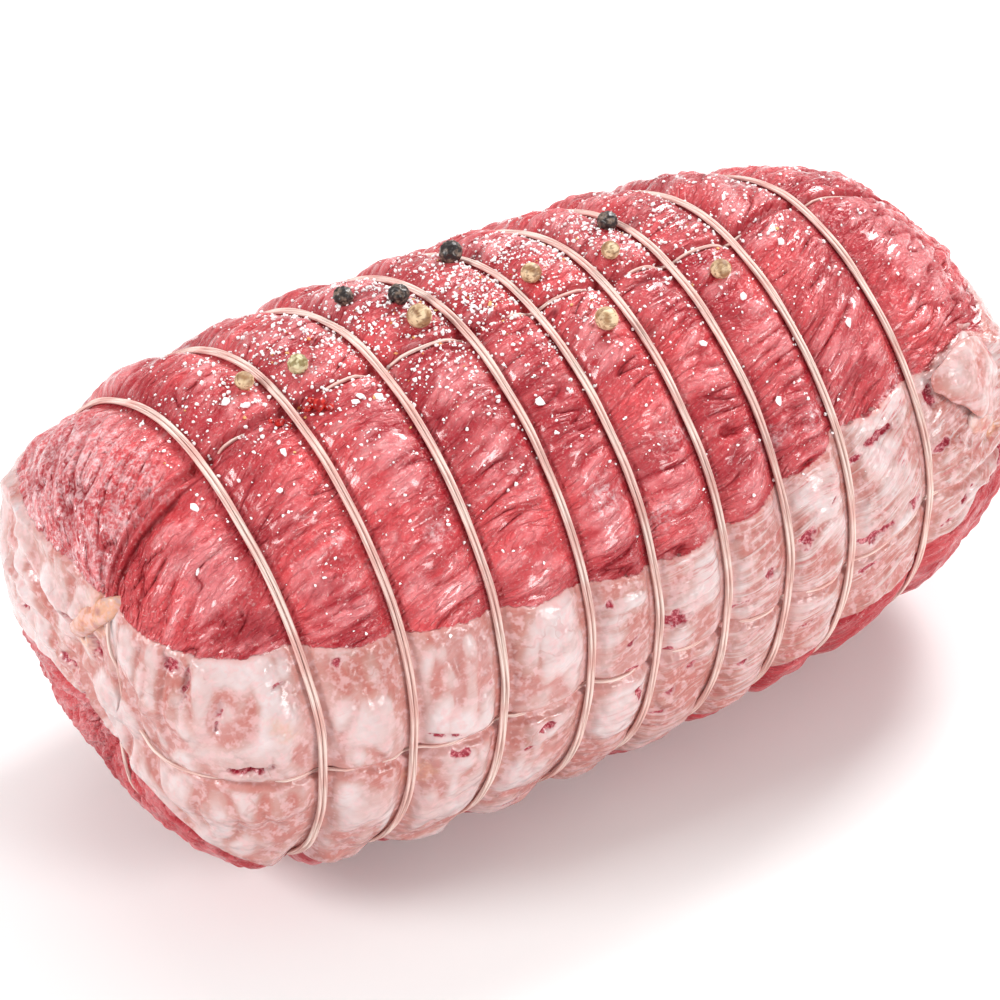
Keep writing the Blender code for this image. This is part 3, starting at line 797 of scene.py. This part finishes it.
# %% Nine doubled loops
PAIR_SPACING = 0.5  # from the middle of the pair to the middle of each strand
LOOP_LIFT = 0.7  # from the floor of the groove to the middle of a strand
WANDER_UP, WANDER_ASIDE = 0.14, 0.2  # how far a strand strays from its path
strings = []
for number, x in enumerate(LOOP_PLACES.tolist(), 1):
    angle = np.linspace(0, 360, 361)[:-1]
    u = np.full(360, float(u_at(x)))
    form, up = smooth_form(u, angle), outward(u, angle)
    side = unit(smooth_form(u + 0.004, angle) - smooth_form(u - 0.004, angle))
    circle = np.stack([np.cos(np.radians(angle)), np.sin(np.radians(angle)), 0 * angle], axis=1)
    wander = waves(circle + 3 * number, 0.3, 20)
    bm = bmesh.new()
    length = 0.0
    for hand in (-1, 1):
        lift = -GROOVE_DEPTH + LOOP_LIFT + hand * WANDER_UP * wander
        aside = hand * PAIR_SPACING + WANDER_ASIDE * wander
        centres = form + up * lift[:, None] + side * aside[:, None]
        centres[:, 2] = np.maximum(centres[:, 2], STRAND_RADIUS * 1.12)
        length += strand(bm, centres, up, STRAND_RADIUS, True)
    strings.append(finish_string(f"loop_{number}", bm, f"string_loop_{number}"))
    print("loop", number, "takes", round(length), "mm of string")


# %% Two long strings
LONG_RADIUS = 0.42
LONG_LIFT = 0.35  # from the floor of the channel to the string's middle
DEEPEST = 0.9  # how deep the string sinks into the flesh here and there
DEEPEST_AT_END = 2.2  # and where it goes under the sinew on the left end


def channel_line(places, angle):
    """The string's middle and its upright along a channel."""
    angle = np.full(len(places), float(angle))
    up = outward(places, angle)
    x, scale = station(places)
    depth, _ = channel(scale, angle)
    rise, _ = pillow(x)
    form = smooth_form(places, angle)
    buried = DEEPEST * ramp(waves(form, 16.0, 22) * 2 + 0.3)
    buried += DEEPEST_AT_END * ramp((-88 - x) / 4) * ramp((scale - 0.5) / 0.06) * (angle < FRONT_ANGLE)
    return form + up * (rise - depth + LONG_LIFT - buried)[:, None], up


inner_u = even_rows()[4:-4:3]
over, over_up = channel_line(inner_u, TOP_ANGLE)
under, under_up = channel_line(inner_u[::-1], UNDER_ANGLE)
tips = smooth_form(np.array([-1.0, 1.0]), np.array([90.0, 90.0]))
tips_up = outward(np.array([-1.0, 1.0]), np.array([90.0, 90.0]))
bm = bmesh.new()
length = strand(bm, np.vstack([over, tips[1:] + tips_up[1:] * 0.6, under,
                               tips[:1] + tips_up[:1] * 0.6]),
                np.vstack([over_up, tips_up[1:], under_up, tips_up[:1]]), LONG_RADIUS, True)
strings.append(finish_string("long_string", bm, "string_lengthwise"))
front, front_up = channel_line(inner_u, FRONT_ANGLE)
bm = bmesh.new()
length += strand(bm, front, front_up, LONG_RADIUS, False)
strings.append(finish_string("front_string", bm, "string_front"))
print("the long strings take", round(length), "mm")


# %% [markdown]
# ## Peppercorns
# A black peppercorn is a dried berry with a wrinkled skin, and a white one is smoother. Each
# starts as an icosphere. Ridged noise on the outward direction wrinkles it, and each corn is
# turned a different way and sunk a little into the meat.

# %% Peppercorns in their kinds
# Each: its place along the joint, its angle round it and its size
BLACK_CORNS = ((-15.2, 79, 5.6), (22.2, 86.5, 4.9), (-45.5, 82, 4.5), (-36.3, 88.5, 4.7))
PALE_CORNS = ((-36.9, 96, 5.6), (-6.4, 95, 4.8), (13.8, 97, 4.4), (0.0, 112.5, 5.6),
              (35.4, 109.5, 4.9), (-76.7, 93, 4.3))
GREEN_CORNS = ((-66.2, 95.5, 4.3),)


def seats(x, angle):
    """Places on the finished flesh and the directions out of it."""
    u, angle = u_at(np.asarray(x, float)), np.asarray(angle, float)
    found = flesh(u, angle - swing(u, station(u)[1], angle))
    return found["places"], found["normals"]


def corn(bm, place, up, size, wrinkle, draw):
    """Add one peppercorn that rests on the flesh."""
    part = bmesh.new()
    bmesh.ops.create_icosphere(part, subdivisions=4, radius=1)
    spin = Vector([draw.uniform(-9, 9) for _ in range(3)])
    for vert in part.verts:
        way = vert.co.normalized()
        ridges = 1 - 2 * abs(noise.noise(way * 1.9 + spin))
        small = 1 - 2 * abs(noise.noise(way * 4.2 - spin))
        vert.co = way * (0.97 + wrinkle * (0.6 * ridges + 0.3 * small - 0.45))
    turn = Matrix.Rotation(draw.uniform(0, 6), 4, "Z") @ Matrix.Rotation(draw.uniform(0, 6), 4, "X")
    squash = Matrix.Diagonal((1.0, 0.96, draw.uniform(0.9, 1.0), 1.0))
    middle = Vector(place + up * size * 0.36) * MM
    bmesh.ops.transform(part, verts=part.verts, matrix=Matrix.Translation(middle) @ turn
                        @ squash @ Matrix.Scale(size / 2 * MM, 4))
    join(bm, part)


def corns(name, kinds, wrinkle, seed):
    draw = random.Random(seed)
    x, angle, sizes = np.array(kinds, float).T
    places, ups = seats(x, angle)
    bm = bmesh.new()
    for place, up, size in zip(places, ups, sizes):
        corn(bm, place, up, size, wrinkle, draw)
    mesh = mesh_from(bm, name)
    mesh.shade_smooth()
    return link(name, mesh)


black_corns = corns("black_peppercorns", BLACK_CORNS, wrinkle=0.22, seed=31)
pale_corns = corns("pale_peppercorns", PALE_CORNS, wrinkle=0.07, seed=32)
green_corns = corns("green_peppercorn", GREEN_CORNS, wrinkle=0.3, seed=33)
print("peppercorns:", len(BLACK_CORNS) + len(PALE_CORNS) + len(GREEN_CORNS))

# %% [markdown]
# ## Salt, crumbs and crushed red pepper
# Salt is thousands of small chips with a few larger flakes, thickest along the ridge. One small
# mesh is stretched and turned for each grain and joined to the others, so that a whole kind is
# one piece. The random draws have a fixed seed, and every render has the same grains.

# %% Scatter small things
# Each: its place along the joint, its angle round it and its size
LARGE_FLAKES = ((-59.3, 107.5, 2.9), (-56.3, 109.5, 2.6), (-61.0, 108.6, 2.2), (-79.5, 98, 2.3),
                (-82.0, 95, 2.5), (-79.4, 112.5, 2.1), (-24.0, 123, 2.3), (20.5, 123.5, 2.1),
                (32.0, 141, 2.5), (36.5, 117, 2.1), (-98.0, 114, 2.3), (58.6, 134.5, 2.5),
                (56.3, 110, 2.3), (-103.0, 128, 1.8), (-84.0, 120, 1.7))
RED_PEPPER = ((-67.6, 105.6, 3.6), (-69.6, 104.8, 2.4), (-66.3, 107.2, 2.2), (-68.2, 103.6, 1.8),
              (-76.4, 105.4, 2.4), (-75.0, 106.2, 1.6), (-77.6, 104.2, 1.4))


def shape_mesh(kind, jitter, seed):
    """A small closed shape about 1 across: a chip or a ball with its corners moved about."""
    bm = bmesh.new()
    bmesh.ops.create_icosphere(bm, subdivisions=2 if kind == "ball" else 1, radius=0.5)
    draw = random.Random(seed)
    for vert in bm.verts:
        vert.co += Vector([draw.uniform(-jitter, jitter) for _ in range(3)])
    return mesh_from(bm, kind)


def scatter(name, shapes, x, angle, sizes, flatness, sink, seed, smooth=False):
    """Join one turned and stretched copy of a shape for each place."""
    draw = random.Random(seed)
    places, ups = seats(x, angle)
    bm = bmesh.new()
    for place, up, size in zip(places, ups, sizes):
        shape = draw.choice(shapes).copy()
        upright = Vector(up).to_track_quat("Z", "Y").to_matrix().to_4x4()
        tip = Matrix.Rotation(draw.uniform(-0.7, 0.7), 4, "X")
        turn = Matrix.Rotation(draw.uniform(0, math.tau), 4, "Z")
        stretch = Matrix.Diagonal((1.0, draw.uniform(0.65, 1.0), draw.uniform(*flatness), 1.0))
        middle = Vector(place + up * size * sink) * MM
        shape.transform(Matrix.Translation(middle) @ upright @ tip @ turn @ stretch
                        @ Matrix.Scale(size * MM, 4))
        bm.from_mesh(shape)
        bpy.data.meshes.remove(shape)
    mesh = mesh_from(bm, name)
    if smooth:
        mesh.shade_smooth()
    print(name, len(x), "pieces,", len(mesh.polygons), "faces")
    return link(name, mesh)


chips = [shape_mesh("chip", 0.12, seed) for seed in range(6)]
balls = [shape_mesh("ball", 0.11, seed) for seed in range(3)]
random_numbers = np.random.default_rng(7)


def sprinkle(count, middle, spread, low, high):
    """Places and sizes for count grains, thickest round the middle."""
    x = random_numbers.normal(middle[0], spread[0], count)
    angle = random_numbers.normal(middle[1], spread[1], count)
    size = low + (high - low) * random_numbers.random(count) ** 2.2
    kept = (np.abs(x - 2) < 100) & (angle > 30) & (angle < 165)
    kept &= np.abs(x[:, None] - LOOP_PLACES).min(axis=1) > 1.0
    return x[kept], angle[kept], size[kept]


dense = sprinkle(3500, middle=(-20, 91), spread=(42, 12), low=0.30, high=1.15)
thin = sprinkle(1500, middle=(-20, 108), spread=(60, 22), low=0.28, high=1.0)
grain_x, grain_angle, grain_size = (np.concatenate(pair) for pair in zip(dense, thin))
salt_grains = scatter("salt_grains", chips, grain_x, grain_angle, grain_size,
                      flatness=(0.55, 1.0), sink=0.3, seed=41)
flake_x, flake_angle, flake_size = np.array(LARGE_FLAKES).T
salt_flakes = scatter("salt_flakes", chips, flake_x, flake_angle, flake_size,
                      flatness=(0.35, 0.6), sink=0.15, seed=42)
crumb_x, crumb_angle, crumb_size = sprinkle(90, middle=(-35, 96), spread=(38, 10), low=0.5,
                                            high=1.2)
crumbs = scatter("crumbs", chips, crumb_x, crumb_angle, crumb_size,
                 flatness=(0.4, 0.8), sink=0.2, seed=43)
red_x, red_angle, red_size = np.array(RED_PEPPER).T
red_pepper = scatter("red_pepper", balls, red_x, red_angle, red_size,
                     flatness=(0.6, 0.75), sink=0.25, seed=44, smooth=True)
for shape in chips + balls:
    bpy.data.meshes.remove(shape)


# %% [markdown]
# ## Building materials
# A material is a tree of nodes. This class remembers the tree and adds one node at a time, with
# its inputs linked or set, so that the recipes below read like a list of coats of colour.

# %% A helper for nodes
def colour(red, green, blue):
    return (red, green, blue, 1.0)


class Recipe:
    """Short ways to add nodes to one tree."""

    def __init__(self, tree):
        self.tree = tree

    def add(self, kind, inputs=None, **options):
        """Add a node; inputs maps a socket's name or number to a value or another socket."""
        made = self.tree.nodes.new("ShaderNode" + kind)
        for name, value in options.items():
            setattr(made, name, value)
        for name, value in (inputs or {}).items():
            if isinstance(value, bpy.types.NodeSocket):
                self.tree.links.new(value, made.inputs[name])
            else:
                made.inputs[name].default_value = value
        return made

    def blend(self, factor, first, second):
        """A colour between first and second."""
        return self.add("Mix", {0: factor, 6: first, 7: second}, data_type="RGBA").outputs[2]

    def between(self, value, low, high, to_low=0.0, to_high=1.0):
        """Turn the range low to high into another range, with soft ends."""
        return self.add("MapRange", {0: value, 1: low, 2: high, 3: to_low, 4: to_high},
                        interpolation_type="SMOOTHSTEP").outputs[0]

    def calculate(self, operation, first, second):
        """The result of one step of arithmetic."""
        return self.add("Math", {0: first, 1: second}, operation=operation).outputs[0]

    def plus(self, first, second):
        return self.calculate("ADD", first, second)

    def times(self, first, second):
        return self.calculate("MULTIPLY", first, second)

    def most(self, first, second):
        return self.calculate("MAXIMUM", first, second)

    def cloud(self, place, stretch, detail=2.0, roughness=0.5):
        """Noise over places in mm; stretch is its size along each axis."""
        scaled = self.add("Mapping", {"Vector": place, "Scale": tuple(1.0 / s for s in stretch)})
        return self.add("TexNoise", {"Vector": scaled.outputs[0], "Scale": 1.0, "Detail": detail,
                                     "Roughness": roughness}).outputs["Fac"]

    def in_mm(self, place):
        return self.add("VectorMath", {0: place, 3: 1 / MM}, operation="SCALE").outputs[0]


# %% [markdown]
# ## Flesh
# Meat and fat share one node group, because they meet at a border that is finer than the mesh.
# The group takes the distance into the fat and mixes two finishes across it. Both follow the
# relief with painted light and shade: what stands up is paler and what lies low is darker. Meat
# is a dark red with paler fibres, pale films of membrane and patches of painted wet sheen, and
# painted shade makes its open valleys thin dark lines. Fat is pink and tan with painted white
# highlights on its crests, and red where it has a hole.

# %% The shared flesh group and its sockets
flesh_group = bpy.data.node_groups.new("flesh", "ShaderNodeTree")
for name in (*FLESH_VALUES, "deep"):
    flesh_group.interface.new_socket(name.capitalize(), in_out="INPUT",
                                     socket_type="NodeSocketFloat")
for name in ("Grain", "Place"):
    flesh_group.interface.new_socket(name, in_out="INPUT", socket_type="NodeSocketVector")
flesh_group.interface.new_socket("Colour", in_out="OUTPUT", socket_type="NodeSocketColor")
for name in ("Roughness", "Coat", "Height"):
    flesh_group.interface.new_socket(name, in_out="OUTPUT", socket_type="NodeSocketFloat")
recipe = Recipe(flesh_group)
given = flesh_group.nodes.new("NodeGroupInput").outputs
place = recipe.in_mm(given["Place"])
granule = recipe.cloud(place, (0.75, 0.75, 0.75), 2.0, 0.6)
speck = recipe.cloud(place, (2.2, 2.2, 2.2), 2.0, 0.6)
print("sockets of the group:", len(flesh_group.interface.items_tree))

# %% [markdown]
# The meat's red is built up in layers. Broad patches come first, then bundles, then painted light
# on the crests, then fibres, then grains with painted glints, each paler than the one before and
# covering less. Painted shade goes on last: the dark valleys, creases and hollows, the flesh
# beside the strings and the whole of the lower meat.

# %% Meat
wide = recipe.cloud(place, (24, 24, 24), 1.0)
bundle = recipe.cloud(given["Grain"], (24, 5, 5), 1.0)
fibre = recipe.cloud(given["Grain"], (10, 1.1, 1.1), 3.0, 0.6)
wet = recipe.cloud(given["Grain"], (8, 5, 5), 2.0, 0.6)
red = recipe.blend(recipe.between(wide, 0.38, 0.64), colour(0.40, 0.008, 0.020),
                   colour(0.66, 0.060, 0.070))
red = recipe.blend(recipe.between(bundle, 0.42, 0.7, 0.0, 0.5), red, colour(0.70, 0.115, 0.125))
# Painted light and shade: what stands up is paler, what lies low stays darker, and the wettest places
# are paler too
raised = recipe.plus(recipe.between(given["Sunk"], -0.75, 0.15, 0.75, 0.0),
                     recipe.between(wet, 0.3, 0.7, -0.35, 0.25))
red = recipe.blend(recipe.between(raised, 0.0, 0.9, 0.0, 0.8), red, colour(0.80, 0.235, 0.25))
red = recipe.blend(recipe.between(fibre, 0.5, 0.74, 0.0, 0.42), red, colour(0.78, 0.20, 0.205))
# Painted glints: pale specks where the grain noise is high
red = recipe.blend(recipe.between(granule, 0.58, 0.72, 0.0, 0.5), red, colour(0.90, 0.52, 0.50))
# Painted sheen: paler where the meat is wettest
red = recipe.blend(recipe.between(wet, 0.62, 0.74, 0.0, 0.4), red, colour(0.82, 0.42, 0.42))
cells = recipe.cloud(given["Grain"], (4.4, 1.9, 1.9), 1.0)
cells = recipe.calculate("ABSOLUTE", recipe.calculate("SUBTRACT", cells, 0.5), 0.0)
grainy = recipe.between(cells, 0.0, 0.14)
# Painted shade in the fine creases between the cells
crease = recipe.times(recipe.between(cells, 0.0, 0.05, 1.0, 0.0), recipe.between(wide, 0.35, 0.6))
# Pale membrane and painted wet sheen, broken up into specks
frosty = recipe.plus(recipe.times(granule, 0.5), recipe.times(speck, 0.5))
filmy = recipe.times(given["Film"], recipe.between(frosty, 0.40, 0.64))
red = recipe.blend(filmy, red, colour(0.94, 0.64, 0.66))
# Painted shade: thin dark lines in the open fissures and a darker red along every valley
deepness = recipe.add("Math", {0: given["Split"]}, operation="ABSOLUTE").outputs[0]
line = recipe.times(recipe.between(deepness, 0.01, 0.09, 0.95, 0.0), given["Opened"])
valley = recipe.between(deepness, 0.0, 0.35, 0.4, 0.0)
line = recipe.most(line, recipe.times(crease, 0.42))
# Painted shade: the meat is darkened beside the strings
shade = recipe.most(recipe.most(line, valley), recipe.between(given["Squeezed"], 0.75, 1.0, 0.0, 0.5))
# Painted shade over the whole of the lower meat
shade = recipe.most(shade, given["Deep"])
# Painted shade in the holes that lie in the meat, which are dents
shade = recipe.most(shade, recipe.times(given["Red"], 0.75))
red = recipe.blend(shade, red, colour(0.28, 0.004, 0.012))

# %% [markdown]
# The fat changes along the joint: soft blotches on the left, fine fibres with pink gaps on the
# right. The place along X fades one into the other. Painted shade makes it darker towards the
# bottom, pink in the hollows of its folds and beside the strings, and painted highlights make its
# crests white.

# %% Fat
where = recipe.add("SeparateXYZ", {0: place}).outputs
along_x = where[0]
fibrous = recipe.between(along_x, -40.0, 25.0, 0.15, 1.0)
patch = recipe.cloud(place, (14, 14, 14), 2.0)
pink = recipe.cloud(place, (9, 9, 9), 2.0, 0.5)
thick = recipe.cloud(place, (8, 8, 8), 1.0)
streak = recipe.cloud(given["Grain"], (15, 1.0, 1.0), 3.0, 0.6)
veins = recipe.cloud(place, (9, 9, 9), 2.0, 0.6)
# Painted light and shade on the folds, mixed with blotches of noise
low_place = recipe.between(given["Sunk"], -0.55, 0.45)
low_place = recipe.times(recipe.plus(low_place, thick), 0.7)
pale = recipe.blend(recipe.between(patch, 0.34, 0.66), colour(0.48, 0.21, 0.175),
                    colour(0.64, 0.455, 0.44))
pale = recipe.blend(recipe.between(pink, 0.45, 0.75, 0.0, 0.45), pale, colour(0.60, 0.24, 0.20))
# Painted shade: the fat is darker and pinker towards the bottom
pale = recipe.blend(recipe.between(where[2], 22.0, 70.0, 0.65, 0.0), pale, colour(0.54, 0.225, 0.19))
# Painted highlight: white on the crests of the folds; then painted shade: dark pink in their hollows
pale = recipe.blend(recipe.between(low_place, 0.12, 0.68, 0.85, 0.0), pale, colour(0.75, 0.65, 0.655))
pale = recipe.blend(recipe.between(low_place, 0.64, 0.95, 0.0, 0.65), pale, colour(0.48, 0.12, 0.095))
bright = recipe.times(recipe.between(streak, 0.5, 0.7, 0.0, 0.6), fibrous)
pale = recipe.blend(bright, pale, colour(0.78, 0.69, 0.69))
gap = recipe.times(recipe.between(streak, 0.32, 0.43, 0.85, 0.0), fibrous)
pale = recipe.blend(gap, pale, colour(0.52, 0.13, 0.13))
hair = recipe.add("Math", {0: veins, 1: 0.5, 2: 0.010}, operation="COMPARE").outputs[0]
hair = recipe.times(hair, recipe.between(patch, 0.50, 0.38, 0.0, 0.3))
pale = recipe.blend(hair, pale, colour(0.45, 0.14, 0.12))
pale = recipe.blend(recipe.between(speck, 0.62, 0.74, 0.0, 0.3), pale, colour(0.66, 0.26, 0.24))
# Painted shade: the fat is darker and pinker beside the strings
pale = recipe.blend(recipe.between(given["Squeezed"], 0.5, 1.0, 0.0, 0.45), pale,
                    colour(0.60, 0.25, 0.22))
stained = recipe.times(given["Stain"], recipe.between(speck, 0.3, 0.55))
pale = recipe.blend(stained, pale, colour(0.76, 0.36, 0.17))
hollow = recipe.plus(given["Red"], recipe.times(granule, 0.25))
hollow = recipe.plus(hollow, recipe.between(speck, 0.3, 0.7, -0.2, 0.3))
lean = recipe.blend(recipe.between(granule, 0.45, 0.7), colour(0.32, 0.014, 0.034),
                    colour(0.70, 0.22, 0.25))
pale = recipe.blend(recipe.between(hollow, 0.12, 0.42, 0.0, 0.6), pale, colour(0.74, 0.46, 0.46))
pale = recipe.blend(recipe.between(hollow, 0.42, 0.8), pale, lean)

# %% [markdown]
# Both finishes meet at the border, with a thin pink edge where the fat is so thin that the red
# shines through. The height drives the bump: it is in millimetres, grains first, then fibres,
# then soft dents.

# %% Border, roughness and height
edge = recipe.plus(given["Fat"], recipe.between(speck, 0.3, 0.7, -0.25, 0.25))
fatness = recipe.between(edge, -0.2, 0.2)
pale = recipe.blend(recipe.between(edge, 0.1, 1.1, 0.5, 0.0), pale, colour(0.70, 0.32, 0.29))
result = recipe.blend(fatness, red, pale)
meat_gloss = recipe.between(wet, 0.35, 0.65, 0.40, 0.24)
meat_gloss = recipe.plus(meat_gloss, recipe.times(shade, 0.35))
gloss = recipe.add("Mix", {0: fatness, 2: meat_gloss, 3: 0.27}).outputs[0]
coat = recipe.times(recipe.between(wet, 0.38, 0.6, 0.1, 0.75), recipe.between(shade, 0.0, 0.6, 1.0, 0.0))
dents = recipe.cloud(place, (3.2, 3.2, 3.2), 1.0)
striped = recipe.cloud(given["Grain"], (5.5, 0.8, 0.8), 2.0, 0.6)
rough_meat = recipe.times(granule, 0.36)
rough_meat = recipe.plus(rough_meat, recipe.times(striped, 0.5))
rough_meat = recipe.plus(rough_meat, recipe.times(dents, 0.9))
rough_meat = recipe.plus(rough_meat, recipe.times(grainy, 0.34))
rough_fat = recipe.times(dents, 1.3)
ribbed = recipe.times(recipe.times(streak, 0.5), fibrous)
rough_fat = recipe.plus(rough_fat, ribbed)
rough_fat = recipe.plus(rough_fat, recipe.times(granule, 0.06))
height = recipe.add("Mix", {0: fatness, 2: rough_meat, 3: rough_fat}).outputs[0]
leaving = flesh_group.nodes.new("NodeGroupOutput")
flesh_group.links.new(result, leaving.inputs["Colour"])
flesh_group.links.new(gloss, leaving.inputs["Roughness"])
flesh_group.links.new(coat, leaving.inputs["Coat"])
flesh_group.links.new(height, leaving.inputs["Height"])
print("nodes in the group:", len(flesh_group.nodes))


# %% [markdown]
# The group gives colours and values only. Each material holds its own shader and its own bump,
# and hands the attributes of the mesh to the group.

# %% Materials that wear the group
def flesh_material(name, deep, bump, specular):
    """A material that wears the flesh group; its second argument darkens it all over as painted shade.
    """
    made = bpy.data.materials.new(name)
    made.use_nodes = True
    tree = made.node_tree
    recipe = Recipe(tree)
    shader = tree.nodes["Principled BSDF"]
    group = recipe.add("Group", node_tree=flesh_group)
    for key in FLESH_VALUES:
        value = recipe.add("Attribute", attribute_name=key).outputs["Fac"]
        tree.links.new(value, group.inputs[key.capitalize()])
    grain = recipe.add("Attribute", attribute_name="grain").outputs["Vector"]
    tree.links.new(grain, group.inputs["Grain"])
    tree.links.new(recipe.add("TexCoord").outputs["Object"], group.inputs["Place"])
    group.inputs["Deep"].default_value = deep
    dents = recipe.add("Bump", {"Height": group.outputs["Height"], "Strength": bump, "Distance": MM})
    tree.links.new(group.outputs["Colour"], shader.inputs["Base Color"])
    tree.links.new(group.outputs["Roughness"], shader.inputs["Roughness"])
    tree.links.new(dents.outputs["Normal"], shader.inputs["Normal"])
    shader.inputs["Subsurface Weight"].default_value = 0.15
    shader.inputs["Subsurface Radius"].default_value = (1.0, 0.35, 0.28)
    shader.inputs["Subsurface Scale"].default_value = 1.3 * MM
    shader.inputs["Specular IOR Level"].default_value = specular
    tree.links.new(group.outputs["Coat"], shader.inputs["Coat Weight"])
    shader.inputs["Coat Roughness"].default_value = 0.12
    return made


upper_look = flesh_material("upper meat", deep=0.0, bump=1.0, specular=0.45)
upper_meat.data.materials.append(upper_look)
fat_look = flesh_material("fat", deep=0.0, bump=0.9, specular=0.45)
fat.data.materials.append(fat_look)
loose_fat.data.materials.append(fat_look)
# Painted shade: the lower meat is a darker copy of the meat
lower_look = flesh_material("lower meat", deep=0.3, bump=0.8, specular=0.3)
lower_meat.data.materials.append(lower_look)
print("materials:", [material.name for material in bpy.data.materials])


# %% [markdown]
# ## String, pepper and salt
# The string is cotton that has drawn up some pink juice, so its colour drifts from cream to pink
# along its length, and fine grooves wind round it, darkened with painted shade. Salt is nearly white.

# %% The small finishes
def simple_material(name, base, roughness):
    """A material of one colour, with its shader, a recipe for its tree and its place in mm."""
    made = bpy.data.materials.new(name)
    made.use_nodes = True
    shader = made.node_tree.nodes["Principled BSDF"]
    shader.inputs["Roughness"].default_value = roughness
    shader.inputs["Base Color"].default_value = base
    shader.inputs["Subsurface Weight"].default_value = 0.0
    shader.inputs["Subsurface Scale"].default_value = 0.8 * MM
    recipe = Recipe(made.node_tree)
    place = recipe.in_mm(recipe.add("TexCoord").outputs["Object"])
    return made, shader, recipe, place


def mottled(name, base, roughness, size, detail, mask, colours):
    """A material that drifts between two colours in patches of the given size."""
    made, shader, recipe, place = simple_material(name, base, roughness)
    patches = recipe.between(recipe.cloud(place, (size, size, size), detail), *mask)
    made.node_tree.links.new(recipe.blend(patches, *colours), shader.inputs["Base Color"])
    return made


string_look, shader, recipe, place = simple_material("butcher's string", colour(0.8, 0.6, 0.5), 0.8)
uv = recipe.add("UVMap").outputs[0]
plies = recipe.add("Mapping", {"Vector": uv, "Scale": (-0.0393, 1.885, 1.0)})
lines = recipe.add("TexWave", {"Vector": plies.outputs[0], "Scale": 1.0, "Distortion": 0.6},
                   bands_direction="DIAGONAL").outputs["Fac"]
threads = recipe.cloud(uv, (3.0 / 0.35, 0.3 / 4.0, 1.0), 3.0)
stain = recipe.cloud(place, (9, 9, 9), 3.0)
cotton = recipe.blend(recipe.between(stain, 0.35, 0.65), colour(0.86, 0.66, 0.59),
                      colour(0.76, 0.43, 0.38))
cotton = recipe.blend(recipe.between(threads, 0.45, 0.7, 0.0, 0.6), cotton, colour(0.90, 0.80, 0.74))
# Painted shade in the grooves between the plies, where the bump is lowest
cotton = recipe.blend(recipe.between(lines, 0.05, 0.4, 0.5, 0.0), cotton, colour(0.45, 0.2, 0.17))
string_look.node_tree.links.new(cotton, shader.inputs["Base Color"])
height = recipe.plus(lines, recipe.times(threads, 0.6))
dents = recipe.add("Bump", {"Height": height, "Strength": 0.6, "Distance": 0.15 * MM})
string_look.node_tree.links.new(dents.outputs["Normal"], shader.inputs["Normal"])
for piece in strings:
    piece.data.materials.append(string_look)

pale_look, shader, recipe, place = simple_material("white pepper", colour(0.6, 0.4, 0.2), 0.5)
mottle = recipe.cloud(place, (2.2, 2.2, 2.2), 2.0)
ribs = recipe.cloud(place, (2.5, 0.6, 0.6), 2.0)
tan = recipe.blend(recipe.between(mottle, 0.38, 0.62), colour(0.34, 0.18, 0.08),
                   colour(0.80, 0.61, 0.38))
tan = recipe.blend(recipe.between(ribs, 0.50, 0.66, 0.0, 0.75), tan, colour(0.20, 0.09, 0.04))
pale_look.node_tree.links.new(tan, shader.inputs["Base Color"])
pale_corns.data.materials.append(pale_look)

black_corns.data.materials.append(mottled(
    "black pepper", colour(0.03, 0.02, 0.02), 0.36, size=1.3, detail=3.0, mask=(0.45, 0.7),
    colours=(colour(0.02, 0.014, 0.014), colour(0.24, 0.17, 0.13))))
green_corns.data.materials.append(mottled(
    "green pepper", colour(0.5, 0.4, 0.2), 0.5, size=1.2, detail=3.0, mask=(0.4, 0.6),
    colours=(colour(0.28, 0.21, 0.08), colour(0.70, 0.62, 0.38))))
crumbs.data.materials.append(mottled(
    "crumbs", colour(0.8, 0.45, 0.1), 0.6, size=1.5, detail=1.0, mask=(0.4, 0.6),
    colours=(colour(0.62, 0.20, 0.05), colour(0.80, 0.50, 0.20))))
red_pepper.data.materials.append(mottled(
    "red pepper", colour(0.5, 0.02, 0.02), 0.25, size=1.2, detail=2.0, mask=(0.4, 0.65),
    colours=(colour(0.30, 0.004, 0.005), colour(0.62, 0.03, 0.02))))
salt_look = simple_material("salt", colour(0.95, 0.93, 0.93), 0.35)[0]
salt_grains.data.materials.append(salt_look)
salt_flakes.data.materials.append(salt_look)
print("materials:", len(bpy.data.materials))

# %% [markdown]
# ## Floor and light
# The joint lies on a pale floor under four soft lamps. The key light from behind on the right
# gives the wet shine on the ridge and on the right side of every bay. The front and left lights
# keep the fat bright, a weak one stands high at the back, and a white sky fills the rest.

# %% Floor and lamps
bm = bmesh.new()
bmesh.ops.create_grid(bm, x_segments=1, y_segments=1, size=6)
floor = bpy.data.objects.new("floor", mesh_from(bm, "floor"))
floor.location.z = -0.0002
bpy.context.scene.collection.objects.link(floor)
floor.data.materials.append(simple_material("floor", colour(0.9, 0.9, 0.9), 0.9)[0])

world = bpy.data.worlds.new("studio")
bpy.context.scene.world = world
world.use_nodes = True
world.node_tree.nodes["Background"].inputs["Color"].default_value = colour(1.0, 0.99, 0.98)
world.node_tree.nodes["Background"].inputs["Strength"].default_value = 0.40


def lamp(name, azimuth, elevation, distance, size, power):
    data = bpy.data.lights.new(name, "AREA")
    data.energy = power
    data.size = size
    made = bpy.data.objects.new(name, data)
    away = direction(azimuth, elevation)
    made.location = away * distance
    made.rotation_euler = away.to_track_quat("Z", "Y").to_euler()
    bpy.context.scene.collection.objects.link(made)


lamp("key light", azimuth=112, elevation=44, distance=1.1, size=0.34, power=9.2)
lamp("front light", azimuth=20, elevation=26, distance=1.3, size=0.4, power=8.8)
lamp("left light", azimuth=-96, elevation=36, distance=1.2, size=0.36, power=8.6)
lamp("top light", azimuth=172, elevation=62, distance=1.2, size=0.6, power=2.5)
bpy.context.scene.view_settings.view_transform = "Standard"
